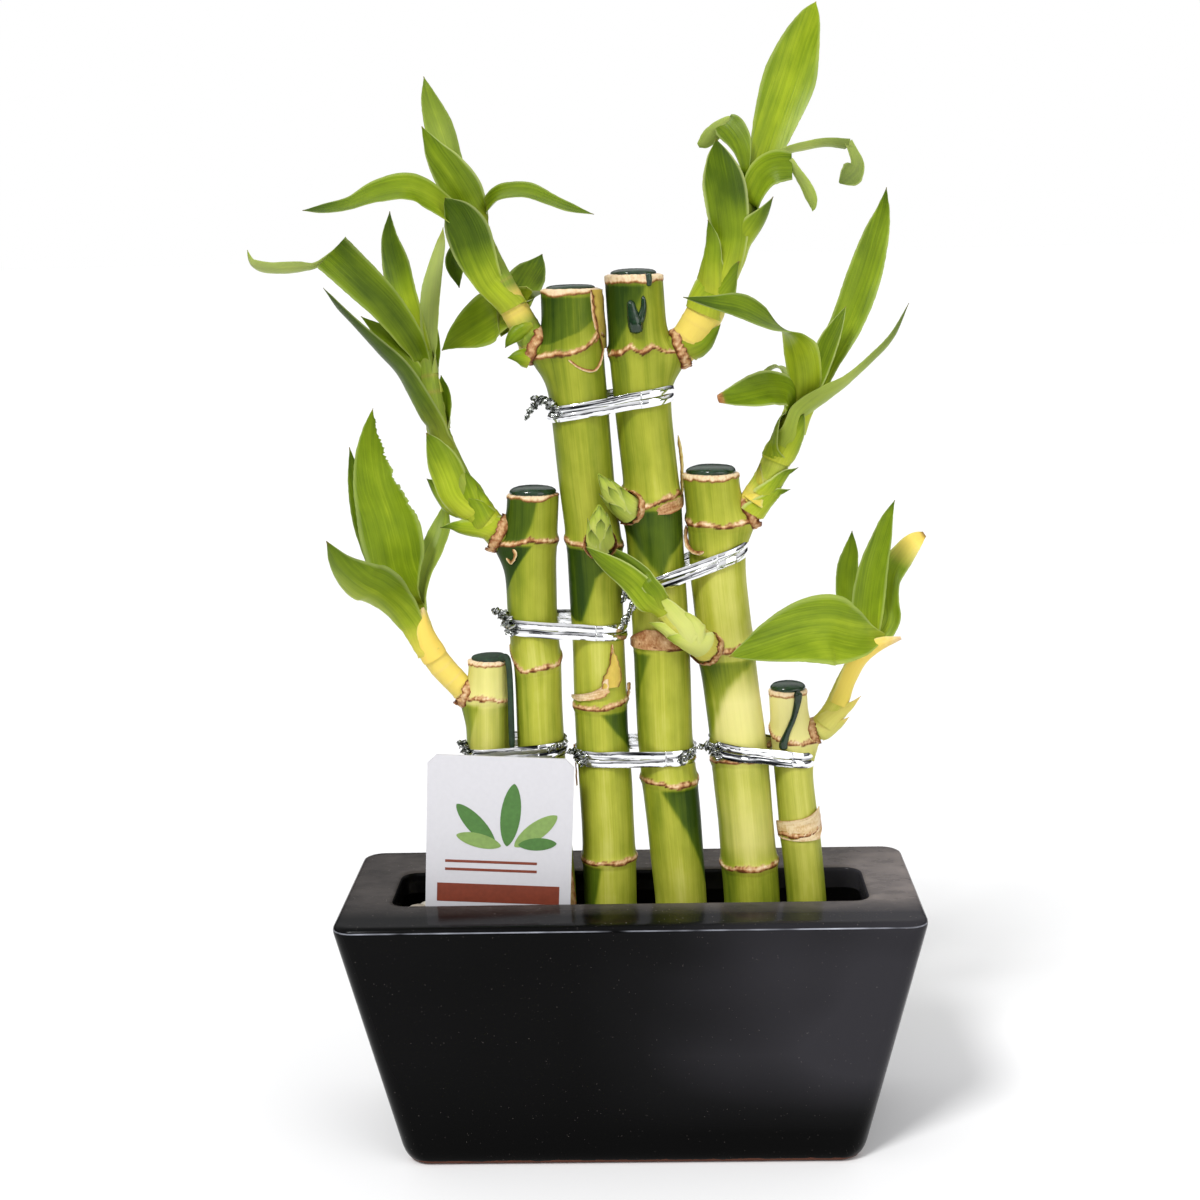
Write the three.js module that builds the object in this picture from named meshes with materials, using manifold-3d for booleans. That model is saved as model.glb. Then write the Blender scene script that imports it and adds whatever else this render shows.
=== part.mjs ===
// Lucky bamboo: six cut canes with leafy shoots, tied side by side with foil ties,
// standing in a bed of pebbles in a black glazed planter, with a plain care tag.
// Millimetres. +Z is up, +X runs along the row of canes, +Y points away from the viewer.
// The origin is the middle of the planter's flat underside.

import * as THREE from 'three';
import Module from 'manifold-3d';

const wasm = await Module();
wasm.setup();

// Clearance kept between two pieces that touch
const GAP = 0.3;

// Planter: a slip-cast box, wider at the top, with a long slot in its top plate
const POT_HEIGHT = 67;
const POT_TOP = { length: 152, depth: 64, corner: 5.5 };
const POT_BASE = { length: 119.5, depth: 54, corner: 6 };
const POT_WALL = 6;
const POT_PLATE = 6;
const SLOT = { length: 124, depth: 26.5, corner: 4, lip: 1.2 };
// Rounded edges of the planter: [height from the edge, inset of the wall]
const POT_FOOT_EDGE = [[0, 2.6], [0.7, 1.2], [2, 0.4], [4, 0]];
const POT_RIM_EDGE = [[2, 0], [0.7, 0.5], [0, 1.8]];
const CORNER_STEPS = 4;

// Pebble bed: fills the planter's hollow and rises into the slot, higher at the left
const BED_LEVEL = 55;
const BED_RISE = { left: 61.5, middle: 58, right: 56 };
const BED_BUMP = 0.9;
const PEBBLE = 9;
const PEBBLE_SLANT = 0.35;
const RELIEF_STEP = 4.8;
const RELIEF_DEPTH = 10;
const CANE_FOOT = 14;

// Leaves and stems. A blade's section is an arc; its half angle is larger at the root.
const BLADE_THICKNESS = 0.7;
const BLADE_CUP = { root: 0.8, blade: 0.3 };
const BLADE_TIP = 0.45;
const WIDE_BLADE = 5;
const CANE_SIDES = 12;
const STEM_SIDES = 7;
const DRIP_SIDES = 6;
const NODE_RING = { swell: 0.55, reach: 1.1 };
const CUT_EDGE = { drop: 0.7, inset: 0.5 };
const STUB_FLARE = 0.4;

// Wax dome: [share of the height, share of the cane's radius]
const WAX_PROFILE = [[0, 0.9], [0.35, 0.88], [0.75, 0.66], [1, 0.3]];

// Foil ties: two flat strands side by side, and the radii of the knot from its foot to its end
const STRAND = { height: 1.7, thickness: 0.8, spacing: 2.1 };
const KNOT = { foot: 1.2, bend: 1.4, middle: 1.5, end: 1.2, arch: 0.5 };
const TIE_STEPS = 5;
const TIE_SLACK = 0.1;

// Care tag
const TAG = { width: 38, height: 60, thickness: 0.8, corner: 2.2 };
const TAG_PLACE = { foot: [-37.5, -11.4, 46], lean: 4 };

// Cane axes: [x, z, radius] from the top down, the heights of the node rings,
// and the side stubs that carry a shoot: [start, end, radius]
const CANES = {
  cane_1: {
    axis: [[-35.5, 129.5, 5.4], [-36, 117, 5.5], [-36.5, 105, 5.8], [-38, 63.5, 6], [-40, 14, 6]],
    rings: [118.3],
    stubs: [{ from: [-36, 0, 117.5], to: [-42, -0.3, 120.5], radius: 3.6 }],
  },
  cane_2: {
    axis: [[-22.9, 172.8, 6.7], [-24, 155.5, 6.7], [-24, 139.5, 6.5], [-23, 127, 6.2], [-23, 118, 6.1],
      [-22.5, 96.5, 6.4], [-21, 63, 6.6], [-21, 14, 6.6]],
    rings: [159.6, 127.8],
    stubs: [{ from: [-24, 0, 158.5], to: [-32, -0.3, 162.5], radius: 4.8 }],
  },
  cane_3: {
    axis: [[-11.9, 224.6, 7.7], [-11.5, 207.5, 7.8], [-10.5, 196.5, 7.5], [-9, 175, 7.2],
      [-7.5, 160.5, 7.2], [-7, 138, 6.9], [-6.5, 109.5, 7], [-5.5, 82.5, 7.1], [-5, 14, 7.1]],
    rings: [207.1, 159.5, 116.8, 72.9],
    stubs: [
      { from: [-12, 0, 206], to: [-21.5, -0.3, 210.5], radius: 4.8 },
      { from: [-7.5, 0, 159.5], to: [-6.8, -7.7, 162.6], radius: 3.8 },
    ],
  },
  cane_4: {
    axis: [[4, 227.8, 7.3], [5, 208, 7.4], [6, 191.5, 7.2], [8, 170.5, 7.2], [8.5, 154, 7.3],
      [9.5, 132.5, 7.4], [10, 108, 7.2], [11.5, 90.5, 7.3], [13.5, 63, 6.8], [14.5, 14, 6.8]],
    rings: [207.8, 168.3, 132.6, 94.7],
    stubs: [
      { from: [5, 0, 205], to: [15.5, -0.3, 209], radius: 4.8 },
      { from: [8, 0, 168.5], to: [3, -6, 170.5], radius: 3.9 },
    ],
  },
  cane_5: {
    axis: [[22.8, 177.3, 7.1], [24, 163, 7.1], [24.5, 149, 7.1], [26.5, 129.5, 7.2], [29, 108, 7.3],
      [31, 84.5, 7.3], [32.5, 63, 7.3], [33, 14, 7.3]],
    rings: [163.1, 129.1, 98.5, 71.8],
    stubs: [
      { from: [24, 0, 162.5], to: [32.5, -0.3, 167], radius: 4.3 },
      { from: [26.5, 0, 129], to: [21.3, -6.3, 132.6], radius: 4.1 },
    ],
  },
  cane_6: {
    axis: [[42.2, 120.2, 4.9], [43, 105, 5], [44, 94, 5], [45.5, 79.5, 5.3], [47, 63, 5.2], [48, 14, 5.2]],
    rings: [107.2, 80.5],
    stubs: [{ from: [43, 0, 107.6], to: [48.8, -0.3, 108.6], radius: 3.1 }],
  },
};

// Wax on the cut tops: height of the dome, and the drips that ran down as [x, y, z, radius]
const WAX = {
  wax_cap_1: {
    cane: 'cane_1',
    height: 1.2,
    drip: [[-32.5, -3, 130.3, 1], [-30.2, -4.7, 128.4, 0.8], [-30, -4.7, 105.5, 0.8]],
  },
  wax_cap_2: { cane: 'cane_2', height: 2 },
  wax_cap_3: { cane: 'cane_3', height: 1.6 },
  wax_cap_4: {
    cane: 'cane_4',
    height: 1.9,
    drip: [[7, -5.6, 229.3, 1], [7.3, -7.8, 228.4, 0.8], [7.5, -7.7, 224, 0.7]],
  },
  wax_cap_5: { cane: 'cane_5', height: 2 },
  wax_cap_6: {
    cane: 'cane_6',
    height: 1.8,
    drip: [[43.2, -3.4, 121.5, 1], [43.4, -6, 120.6, 0.9], [42.4, -6.1, 112, 0.8],
      [41.3, -6.9, 106.3, 1.2]],
  },
};

// Foil ties: the two canes that each one holds, the height on each, and the twisted tail
const TIES = {
  tie_1: { canes: ['cane_3', 'cane_4'], heights: [194.3, 196.8], tail: [-22.5, -5, 197.5] },
  tie_2: { canes: ['cane_2', 'cane_3'], heights: [138.4, 137.2], tail: [-33.5, -4, 141.5] },
  tie_3: { canes: ['cane_4', 'cane_5'], heights: [149.6, 155.2], tail: [-0.6, -4.5, 144.5] },
  tie_4: { canes: ['cane_1', 'cane_2'], heights: [104.6, 105.6], tail: [-44.5, -4, 108] },
  tie_5: { canes: ['cane_3', 'cane_4'], heights: [103.6, 103.6], tail: [-15.5, -7.5, 105.8] },
  tie_6: { canes: ['cane_5', 'cane_6'], heights: [104.6, 102.3], tail: [18.2, -7.5, 106.5] },
};

// Scales of a bud: [place along the bud, distance out and half width as shares of its radius]
const BUD_SCALE = [[0.1, 0.7, 0.6], [0.45, 0.95, 0.5], [0.8, 1.5, 0]];
const SCALE_STAGGER = 0.04;

// Buds on the nodes of the two tall canes: [x, y, z, radius]
const BUDS = {
  bud_1: [[-6.8, -7.7, 162.6, 3.4], [-6.5, -9.5, 164, 3.6], [-6, -11.3, 166.2, 3.1],
    [-5.6, -12.6, 168.6, 1.8], [-5.4, -13.4, 170.6, 0.5]],
  bud_2: [[3, -6, 170.5, 3.5], [1, -7.8, 172.5, 3.6], [-1.5, -9.5, 175, 3.1], [-4, -11, 177, 1.9],
    [-5.8, -12, 178.5, 0.5]],
};

// Shoots. A stem is a list of [x, y, z, radius] from the cane outwards. A leaf is a list of
// [x, y, z, half width, roll] from its root to its tip. Roll 0 turns the upper face to the viewer,
// 90 turns it left to right for a leaf that stands, and 180 turns it away.
const SHOOTS = {
  leafy_shoot_1: {
    stem: [
      [-42, -0.3, 120.5, 3.2], [-44, -0.5, 123, 3.2], [-48.5, -1, 128.5, 3.3],
      [-52, -1.5, 135, 3.1], [-54, -1.5, 142.5, 2.6]
    ],
    leaves: {
      front_blade: [
        [-53.5, -1.5, 138, 3, 5], [-56, -0.8, 149.5, 6.2, 5], [-59, 0.5, 160.5, 8, 5],
        [-62, 3.2, 171.5, 6.8, 5], [-64, 5.9, 183, 4.3, 5], [-64.5, 7.3, 195, 0, 5]
      ],
      hidden_blade: [
        [-54, 0, 140, 2.6, 0], [-61, 5.4, 150, 4, 0], [-66.5, 8.1, 161.5, 3.6, 0],
        [-69.5, 9.5, 173, 2.6, 0], [-71.5, 10.8, 184.5, 0, 0]
      ],
      left_blade: [
        [-51, -2, 131, 3, 170], [-55, -4.7, 140, 4.2, 165], [-60, -8.1, 147, 4.6, 155],
        [-65.5, -11.5, 153, 4.8, 150], [-70, -14.2, 158, 3, 150], [-74.5, -15.5, 163.5, 0, 150]
      ],
      right_blade: [
        [-53.5, -0.5, 140, 2, -20], [-53.5, 2.9, 148, 2.2, -30], [-50.5, 5.6, 155, 2.9, -30],
        [-48, 8.3, 162, 2.4, -30], [-47, 9.6, 169.5, 0, -30]
      ],
      torn_sheath: [
        [-49.5, -2.5, 131, 2.4, -140], [-51.5, -3.5, 137.5, 2, -130],
        [-52, -3.5, 144, 0.4, -120]
      ],
    },
  },
  leafy_shoot_2: {
    stem: [
      [-32, -0.3, 162.5, 4.3], [-34, -0.5, 165, 4.4], [-39, -1, 172.5, 4.6],
      [-43, -1, 181.5, 4], [-46, -1, 190, 3.4], [-48, 0, 200.5, 2.8], [-49.5, 1, 209.5, 1.8]
    ],
    leaves: {
      folded_blade: [
        [-47, -1, 192, 2.6, 10], [-50, -6.4, 204.5, 3.6, 10], [-54, -11.8, 214, 5, 10],
        [-58.5, -15.9, 223, 5.4, 15], [-62.5, -17.2, 231, 5.2, 40],
        [-67.5, -14.5, 234.5, 4.4, 80], [-74, -11.8, 232, 3, 110], [-81, -10.5, 231, 2.7, 120],
        [-86.5, -10.5, 232.5, 2.2, 125], [-91, -10.5, 236, 0, 125]
      ],
      upright_blade: [
        [-48.5, 0, 199.5, 2.4, -10], [-51, 4.1, 210, 3.4, -12], [-54.5, 8.1, 220, 4.2, -15],
        [-57, 12.2, 230, 4, -15], [-59, 14.9, 238, 2.4, -15], [-59, 16.2, 245, 0, -15]
      ],
      left_blade: [
        [-44.5, -2.5, 185.5, 3, 150], [-49.5, -7.2, 196, 3.8, 140], [-54, -11.3, 205, 4.2, 130],
        [-59, -14, 211, 3.8, 125], [-64, -16.7, 217, 2.8, 120], [-68, -18, 222, 1.8, 120],
        [-71.5, -18, 226.5, 0, 120]
      ],
      middle_blade: [
        [-47, -0.5, 194.5, 2, 40], [-53.5, -2.5, 206, 3, 40], [-58.5, -4.6, 213.5, 2.8, 40],
        [-64.5, -5.2, 219, 0, 40]
      ],
      pale_blade: [
        [-48, 1, 201, 2.2, -50], [-49.5, 3.7, 211, 3, -55], [-49.5, 7.8, 221, 3.2, -60],
        [-47.5, 11.8, 230.5, 2.6, -60], [-45, 14.5, 241, 0, -60]
      ],
      short_blade: [
        [-48.5, 1.5, 202, 1.5, 0], [-47.5, 4.9, 209.5, 1.6, 0], [-47, 7.6, 217, 0, 0]
      ],
      dark_blade: [
        [-44.5, 0, 187, 2, -60], [-44.5, 0, 194.5, 1.9, -50], [-45, 0, 203, 0, -45]
      ],
      front_bract: [
        [-39, -2.5, 168.5, 4.6, 178], [-43, -4, 175.5, 4, 178], [-45, -5, 182.5, 3.1, 178],
        [-49, -5.5, 189.5, 0, 178]
      ],
      left_bract: [
        [-42.5, 0, 169.5, 2.4, 110], [-46, 1, 173, 1.8, 110], [-50.5, 1.5, 177, 0, 110]
      ],
      lower_bract: [
        [-33, -1.5, 163.5, 2.6, 110], [-39.5, -2.5, 165.5, 1.6, 100], [-47, -3, 165, 0, 100]
      ],
      right_bract_1: [
        [-38.5, -0.5, 170, 3, -100], [-40, -0.5, 175, 2, -110], [-41, -0.5, 179.5, 0, -110]
      ],
      right_bract_2: [
        [-35, -1.5, 167, 3.4, -120], [-36.5, -2, 171.5, 2, -120], [-37.5, -2, 175.5, 0, -120]
      ],
    },
  },
  leafy_shoot_3: {
    stem: [
      [-21.5, -0.3, 210.5, 4.4], [-22, -0.5, 212, 4.6], [-26.5, -1, 220, 4.5],
      [-30.5, -1, 228.5, 3.9], [-33.5, -1, 236, 3.3], [-35.5, 0, 244, 2.3]
    ],
    leaves: {
      front_blade: [
        [-26, -2.5, 218.5, 4.6, 178], [-30, -4.5, 226.5, 4.6, 178], [-34, -6.6, 234, 5.3, 178],
        [-38, -7.9, 240.5, 4.9, 178], [-40, -8.6, 244.5, 3, 178], [-42, -8.6, 247.5, 0, 178]
      ],
      right_blade: [
        [-26, 0.5, 217.5, 3.6, -30], [-24.5, 6.6, 224, 4.2, -30], [-22, 12, 229, 3.3, -30],
        [-20, 16, 233, 0, -30]
      ],
      left_blade: [
        [-25, 0.5, 216.5, 3.4, 50], [-32, 7.9, 218.5, 5.6, 50], [-39, 13.3, 216, 5.6, 50],
        [-44.5, 16, 212, 2.8, 50], [-49, 17.4, 208, 0, 50]
      ],
      drooping_blade: [
        [-33.5, 0.5, 234, 2, 90], [-38.5, 7.9, 236, 2.6, 60], [-42, 13.3, 231.5, 3, 20],
        [-41.5, 14.7, 225, 0, 10]
      ],
      arching_left: [
        [-35.5, -0.5, 237.5, 2.4, 60], [-42.5, -5.2, 245, 4.4, 58], [-48, -9.3, 249.5, 4.8, 58],
        [-52.5, -13.3, 251, 4.6, 58], [-58, -16, 249.5, 3.4, 58], [-64, -18.7, 246, 2.4, 58],
        [-70, -20.1, 245, 1.8, 58], [-75, -21.4, 245, 0, 58]
      ],
      upper_blade: [
        [-35, 0, 241.5, 3.2, 175], [-38, -2, 248.5, 5, 175], [-41.5, -3.4, 254.5, 4.4, 175],
        [-44.5, -4.1, 259, 2.8, 175], [-47.5, -4.1, 265, 0, 175]
      ],
      top_blade: [
        [-36, 1, 243.5, 2.4, 0], [-40, 3.7, 255, 3.7, 0], [-44, 6.4, 264.5, 3.7, 0],
        [-46.5, 7.8, 272, 2.2, 0], [-48, 9.1, 278, 0, 0]
      ],
      arching_right: [
        [-35, -0.5, 239, 2.4, -50], [-32, -3.9, 245.5, 3.2, -50], [-27.5, -7.9, 248, 3.4, -54],
        [-21.5, -12, 248, 3.2, -56], [-16, -14.7, 246, 2.5, -58], [-11, -17.4, 244, 1.8, -58],
        [-5, -18.7, 242.5, 0, -58]
      ],
      lower_bract_1: [
        [-21.5, -1, 209.5, 3.4, 120], [-25, -1.5, 210.5, 2.4, 110], [-29, -2, 212, 0, 110]
      ],
      lower_bract_2: [
        [-20, -1, 206, 2.8, 110], [-24, -2, 207.5, 1.8, 110], [-28.5, -2.5, 209.5, 0, 110]
      ],
    },
  },
  leafy_shoot_4: {
    stem: [
      [15.5, -0.3, 209, 4.4], [18, -0.5, 211.5, 4.7], [22, -1, 218, 4.7],
      [25, -1, 225.5, 4.2], [28, -1, 233, 4], [31, -0.5, 241, 3.3], [33.5, 1, 249, 2.3]
    ],
    leaves: {
      top_blade: [
        [33, 1, 245.5, 2.6, 0], [37.5, 5.1, 257, 4.2, 0], [40.5, 7.8, 265.5, 5.7, 0],
        [44, 10.5, 275, 6.7, 0], [47, 11.8, 284, 5, 0], [49.5, 11.8, 290.5, 2.6, 0],
        [51, 11.8, 294, 0, 0]
      ],
      folded_left: [
        [32, 0.5, 244, 2.2, 10], [32, 1, 254, 3, 10], [30.5, 3, 261.5, 4, 25],
        [27.5, 7, 266, 3.8, 90], [24.5, 10, 263, 3, 150], [21.5, 11, 258.5, 0.6, 170]
      ],
      front_blade: [
        [25.5, -2.5, 227, 4.4, 178], [28, -5.2, 236, 4.6, 178], [27.5, -7.2, 244, 5.3, 178],
        [26.5, -7.9, 250.5, 5.1, 178], [25.5, -7.9, 256, 2.9, 178], [25, -7.9, 260, 0, 178]
      ],
      folded_right: [
        [30, -1, 234.5, 3.2, -10], [33, -3, 243.5, 4.2, -10], [37.5, -4.5, 250.5, 4.4, -20],
        [42, -3.5, 253.5, 4, -70], [45.5, -1.5, 251, 2.6, -120], [48, 0, 246.5, 2.2, -150],
        [49, 0.5, 242.5, 0, -160]
      ],
      pale_blade: [
        [33.5, 2, 244, 2.4, -110], [40, 6.1, 253.5, 3.2, -115], [46.5, 10.1, 257.5, 3.2, -118],
        [54, 14.2, 259, 3.2, -115], [60, 16.9, 257.5, 3.6, -110], [61.5, 16.9, 253.5, 3.2, -150],
        [58, 15.5, 249.5, 0.5, -170]
      ],
      right_bract: [
        [27, -1.5, 225.5, 3.6, -110], [32, -3, 234, 3.6, -110], [36, -4, 240, 3, -110],
        [39, -4.5, 246, 0, -110]
      ],
      left_bract: [
        [21, -2, 221, 3.6, 140], [23, -3.5, 230.5, 3, 140], [23.5, -4, 236, 2, 140],
        [23, -4, 241, 0, 140]
      ],
      lower_bract: [
        [21, -2.5, 216.5, 4.7, 175], [25, -4, 223, 4.4, 178], [28.5, -4.5, 227, 2.6, 178],
        [30.5, -4.5, 230.5, 0, 178]
      ],
      base_bract: [
        [16.5, -1.5, 207.5, 4.2, -120], [21, -2.5, 210.5, 3, -120], [25.5, -3, 215, 0, -120]
      ],
    },
  },
  leafy_shoot_5: {
    stem: [
      [32.5, -0.3, 167, 3.8], [34, -0.5, 169.5, 4], [37.5, -1, 175.5, 3.7],
      [40.5, -1, 182.5, 3.6], [43.5, -1, 188.5, 3.7], [46, 0, 196, 2.5]
    ],
    leaves: {
      long_blade: [
        [46.5, 0.5, 190.5, 2.6, 0], [52, 3.9, 203.5, 3.4, 0], [58, 6.6, 214, 4.2, 0],
        [62.5, 9.3, 225, 4.5, 0], [66, 12, 235.5, 3.4, 0], [68, 13.3, 242, 1.8, 0],
        [69, 13.3, 248, 0, 0]
      ],
      short_blade: [
        [45.5, 0, 192.5, 2.2, -10], [49.5, 0, 201, 2.8, -10], [53, 0.7, 209.5, 2.6, -10],
        [55.5, 1.4, 214.5, 1.5, -10], [57.5, 2, 218.5, 0, -10]
      ],
      folded_blade: [
        [44.5, -2, 189.5, 3.4, 178], [46.5, -5.4, 198.5, 4, 175], [45.5, -10.1, 206.5, 4.4, 165],
        [42.5, -16.9, 212.5, 4.2, 110], [36.5, -22.2, 216, 4, 60], [30, -25, 219.5, 3.9, 45],
        [23, -26.3, 221, 2.2, 45], [16, -26.3, 222.5, 0, 45]
      ],
      thin_blade: [
        [41.5, -2.5, 185, 3.6, -150], [46, -5.2, 192.5, 3.8, -140], [51.5, -7.9, 197, 3, -135],
        [56.5, -9.9, 200.5, 2.4, -130], [62, -11.3, 205.5, 1.7, -130],
        [67.5, -12.6, 211.5, 1.3, -130], [71.5, -12.6, 219.5, 0, -130]
      ],
      left_blade: [
        [42.5, -1.5, 186, 3.4, 60], [40.5, -6.2, 194, 4.6, 40], [37, -11.6, 198, 5, 30],
        [32, -15.7, 198.5, 4.6, 28], [27.5, -18.4, 197, 3, 28], [24, -19.7, 196.5, 1.1, 28]
      ],
      hidden_blade: [
        [45, 1, 192, 2, 30], [43.5, 5.1, 199.5, 2.4, 50], [41, 9.1, 203, 2, 90],
        [37.5, 11.8, 202, 0.4, 150]
      ],
      front_bract: [
        [40, -2.5, 180, 3.8, 178], [43, -4, 186, 3.2, 178], [46, -4.5, 192, 0, 178]
      ],
      left_bract: [
        [38.5, -1.5, 172.5, 3, 110], [37, -2, 176.5, 2, 110], [36.5, -2, 180, 0, 110]
      ],
      right_bract_1: [
        [37.5, -1.5, 173.5, 3.6, -120], [41, -3, 176, 2.2, -120], [45, -3.5, 178.5, 0, -120]
      ],
      right_bract_2: [
        [35.5, -1.5, 170, 3.6, -120], [39.5, -3, 171.5, 2, -120], [43, -3.5, 173, 0, -120]
      ],
    },
  },
  leafy_shoot_6: {
    stem: [
      [48.8, -0.3, 108.6, 2.7], [51, -0.5, 110, 3.1], [54, -1, 114.5, 2.7],
      [57, -1, 121.5, 2.4], [60, -1, 127.5, 2.2], [63, 0, 132.5, 1.6]
    ],
    leaves: {
      glossy_blade: [
        [59, -1, 121.5, 2, 20], [61, -6.4, 132.5, 4, 15], [54.5, -13.2, 138.5, 8, 20],
        [45.5, -18.6, 139, 8.4, 25], [37, -22.6, 136.5, 5.6, 25], [30.5, -24, 134.5, 2.8, 25],
        [24.5, -25.3, 134, 0, 25]
      ],
      left_blade: [
        [61.5, 1, 128.5, 2, 0], [58.5, 5.1, 140.5, 2.8, 0], [58.5, 7.8, 149.5, 2.9, 0],
        [59.5, 9.1, 155, 1.9, 0], [60, 9.8, 160, 0, 0]
      ],
      middle_blade: [
        [62.5, 0.5, 128.5, 2.4, 0], [63, 1.2, 140.5, 4.2, 0], [64.5, 2.5, 150.5, 3.9, 0],
        [67, 3.9, 159, 2.6, 0], [68.5, 4.6, 164, 1.5, 0], [70.5, 5.2, 168.5, 0, 0]
      ],
      yellow_tip_blade: [
        [63.5, 1.5, 128.5, 2.2, -15], [69.5, 6.2, 139, 3.2, -15], [71, 8.9, 147, 3, -15],
        [74.5, 11.6, 154, 2.4, -15], [79.5, 13, 158.5, 0.5, -15]
      ],
      yellow_sheath: [
        [56, -2, 116.5, 2.2, -130], [60, -3, 124.5, 2, -130], [65.5, -3.5, 130, 1.6, -130],
        [71.5, -3.5, 134, 0.3, -130]
      ],
      bract_1: [
        [53, -1.5, 111, 2.8, -130], [57.5, -2.5, 114.5, 1.6, -130], [61, -3, 118.5, 0, -130]
      ],
      bract_2: [
        [51, -1.5, 107, 2.8, -130], [55, -2.5, 110, 1.6, -130], [58, -3, 113, 0, -130]
      ],
    },
  },
  young_shoot: {
    stem: [
      [21.3, -6.3, 132.6, 3.6], [20.5, -7.8, 133.5, 3.8], [17, -10.5, 136.5, 4.2],
      [12.5, -12.5, 141, 4.1], [9, -14.5, 146.5, 3.2], [6, -16, 151, 2]
    ],
    leaves: {
      long_blade: [
        [11, -13.5, 143.5, 3.2, 175], [6.5, -16, 150, 3, 175], [1.5, -18, 155, 2.7, 170],
        [-4, -19, 158.5, 1.7, 170], [-9, -19.5, 161.5, 0, 170]
      ],
      upper_blade: [
        [10, -14, 145.5, 2.4, 175], [5.5, -16, 152, 2.2, 175], [1.5, -17, 156.5, 1.6, 175],
        [-2.5, -17.5, 160.5, 0, 175]
      ],
      front_bract: [
        [14, -13, 138.5, 4.2, 178], [11, -16, 143.5, 3, 178], [8.5, -17.5, 148, 0, 178]
      ],
      side_bract: [
        [17.5, -10, 133, 2.8, 120], [11.5, -12.5, 137.5, 1.4, 120], [6, -14, 141, 0, 120]
      ],
      torn_bract: [
        [19.5, -9.5, 131.5, 2.8, 130], [15, -12, 133.5, 1.8, 130], [11, -13.5, 135.5, 0.4, 130]
      ],
    },
  },
};

const COLOURS = {
  planter: { color: 0x131316, roughness: 0.25, metalness: 0 },
  pebbles: { color: 0xc9c4bb, roughness: 0.8, metalness: 0 },
  cane: { color: 0x8fa03a, roughness: 0.45, metalness: 0 },
  wax: { color: 0x1e3c2d, roughness: 0.3, metalness: 0 },
  leaf: { color: 0x78a02a, roughness: 0.5, metalness: 0 },
  bud: { color: 0xa8bd55, roughness: 0.5, metalness: 0 },
  foil: { color: 0xc8ccd0, roughness: 0.15, metalness: 1 },
  card: { color: 0xe6e4ee, roughness: 0.5, metalness: 0 },
};

// Closed solid from points and triangles
function solid(points, triangles) {
  const vertProperties = new Float32Array(points.flatMap((p) => [p.x, p.y, p.z]));
  const triVerts = new Uint32Array(triangles.flat());
  return new wasm.Manifold(new wasm.Mesh({ numProp: 3, vertProperties, triVerts }));
}

// Closed solid through a stack of rings with the same number of points
function loft(rings) {
  const count = rings[0].length;
  const points = rings.flat();
  const triangles = [];
  for (let i = 0; i + 1 < rings.length; i += 1) {
    for (let j = 0; j < count; j += 1) {
      const a = i * count + j;
      const b = i * count + (j + 1) % count;
      triangles.push([a, b, b + count], [a, b + count, a + count]);
    }
  }
  const last = (rings.length - 1) * count;
  for (let j = 1; j + 1 < count; j += 1) {
    triangles.push([0, j + 1, j], [last, last + j, last + j + 1]);
  }
  return solid(points, triangles);
}

// Rectangle with rounded corners, counterclockwise seen from above
function roundedRing(length, depth, corner, z) {
  const ring = [];
  const centres = [[1, 1, 0], [-1, 1, 1], [-1, -1, 2], [1, -1, 3]];
  for (const [sx, sy, quarter] of centres) {
    for (let k = 0; k <= CORNER_STEPS; k += 1) {
      const angle = (quarter + k / CORNER_STEPS) * Math.PI / 2;
      const x = sx * (length / 2 - corner) + corner * Math.cos(angle);
      const y = sy * (depth / 2 - corner) + corner * Math.sin(angle);
      ring.push(new THREE.Vector3(x, y, z));
    }
  }
  return ring;
}

// Outer wall of the planter at a height, drawn in by an inset
function potRing(z, inset) {
  const t = z / POT_HEIGHT;
  const length = THREE.MathUtils.lerp(POT_BASE.length, POT_TOP.length, t) - 2 * inset;
  const depth = THREE.MathUtils.lerp(POT_BASE.depth, POT_TOP.depth, t) - 2 * inset;
  const corner = THREE.MathUtils.lerp(POT_BASE.corner, POT_TOP.corner, t);
  return roundedRing(length, depth, Math.max(corner - inset, 1), z);
}

function slotRing(z, outset) {
  return roundedRing(SLOT.length + 2 * outset, SLOT.depth + 2 * outset, SLOT.corner + outset, z);
}

function planter() {
  const rim = POT_RIM_EDGE.map(([down, inset]) => [POT_HEIGHT - down, inset]);
  const outer = loft([...POT_FOOT_EDGE, ...rim].map(([z, inset]) => potRing(z, inset)));
  const plateUnderside = POT_HEIGHT - POT_PLATE;
  const hollow = loft([potRing(POT_WALL, POT_WALL), potRing(plateUnderside, POT_WALL)]);
  const { lip } = SLOT;
  const slot = loft([
    slotRing(plateUnderside - 1, 0),
    slotRing(POT_HEIGHT - lip, 0),
    slotRing(POT_HEIGHT - 0.3 * lip, 0.3 * lip),
    slotRing(POT_HEIGHT, lip),
    slotRing(POT_HEIGHT + 1, lip),
  ]);
  return outer.subtract(hollow).subtract(slot);
}

// Values between the stations of a list, on a smooth curve through them
function along(stations, t) {
  const last = stations.length - 1;
  const i = Math.min(Math.floor(t * last), last - 1);
  const u = t * last - i;
  const at = (k) => stations[k];
  const before = i > 0 ? at(i - 1) : at(0).map((v, c) => 2 * v - at(1)[c]);
  const after = i + 2 <= last ? at(i + 2) : at(last).map((v, c) => 2 * v - at(last - 1)[c]);
  return at(i).map((p1, c) => {
    const p0 = before[c];
    const p2 = at(i + 1)[c];
    const p3 = after[c];
    return 0.5 * (2 * p1 + (p2 - p0) * u + (2 * p0 - 5 * p1 + 4 * p2 - p3) * u * u
      + (3 * p1 - p0 - 3 * p2 + p3) * u * u * u);
  });
}

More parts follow.
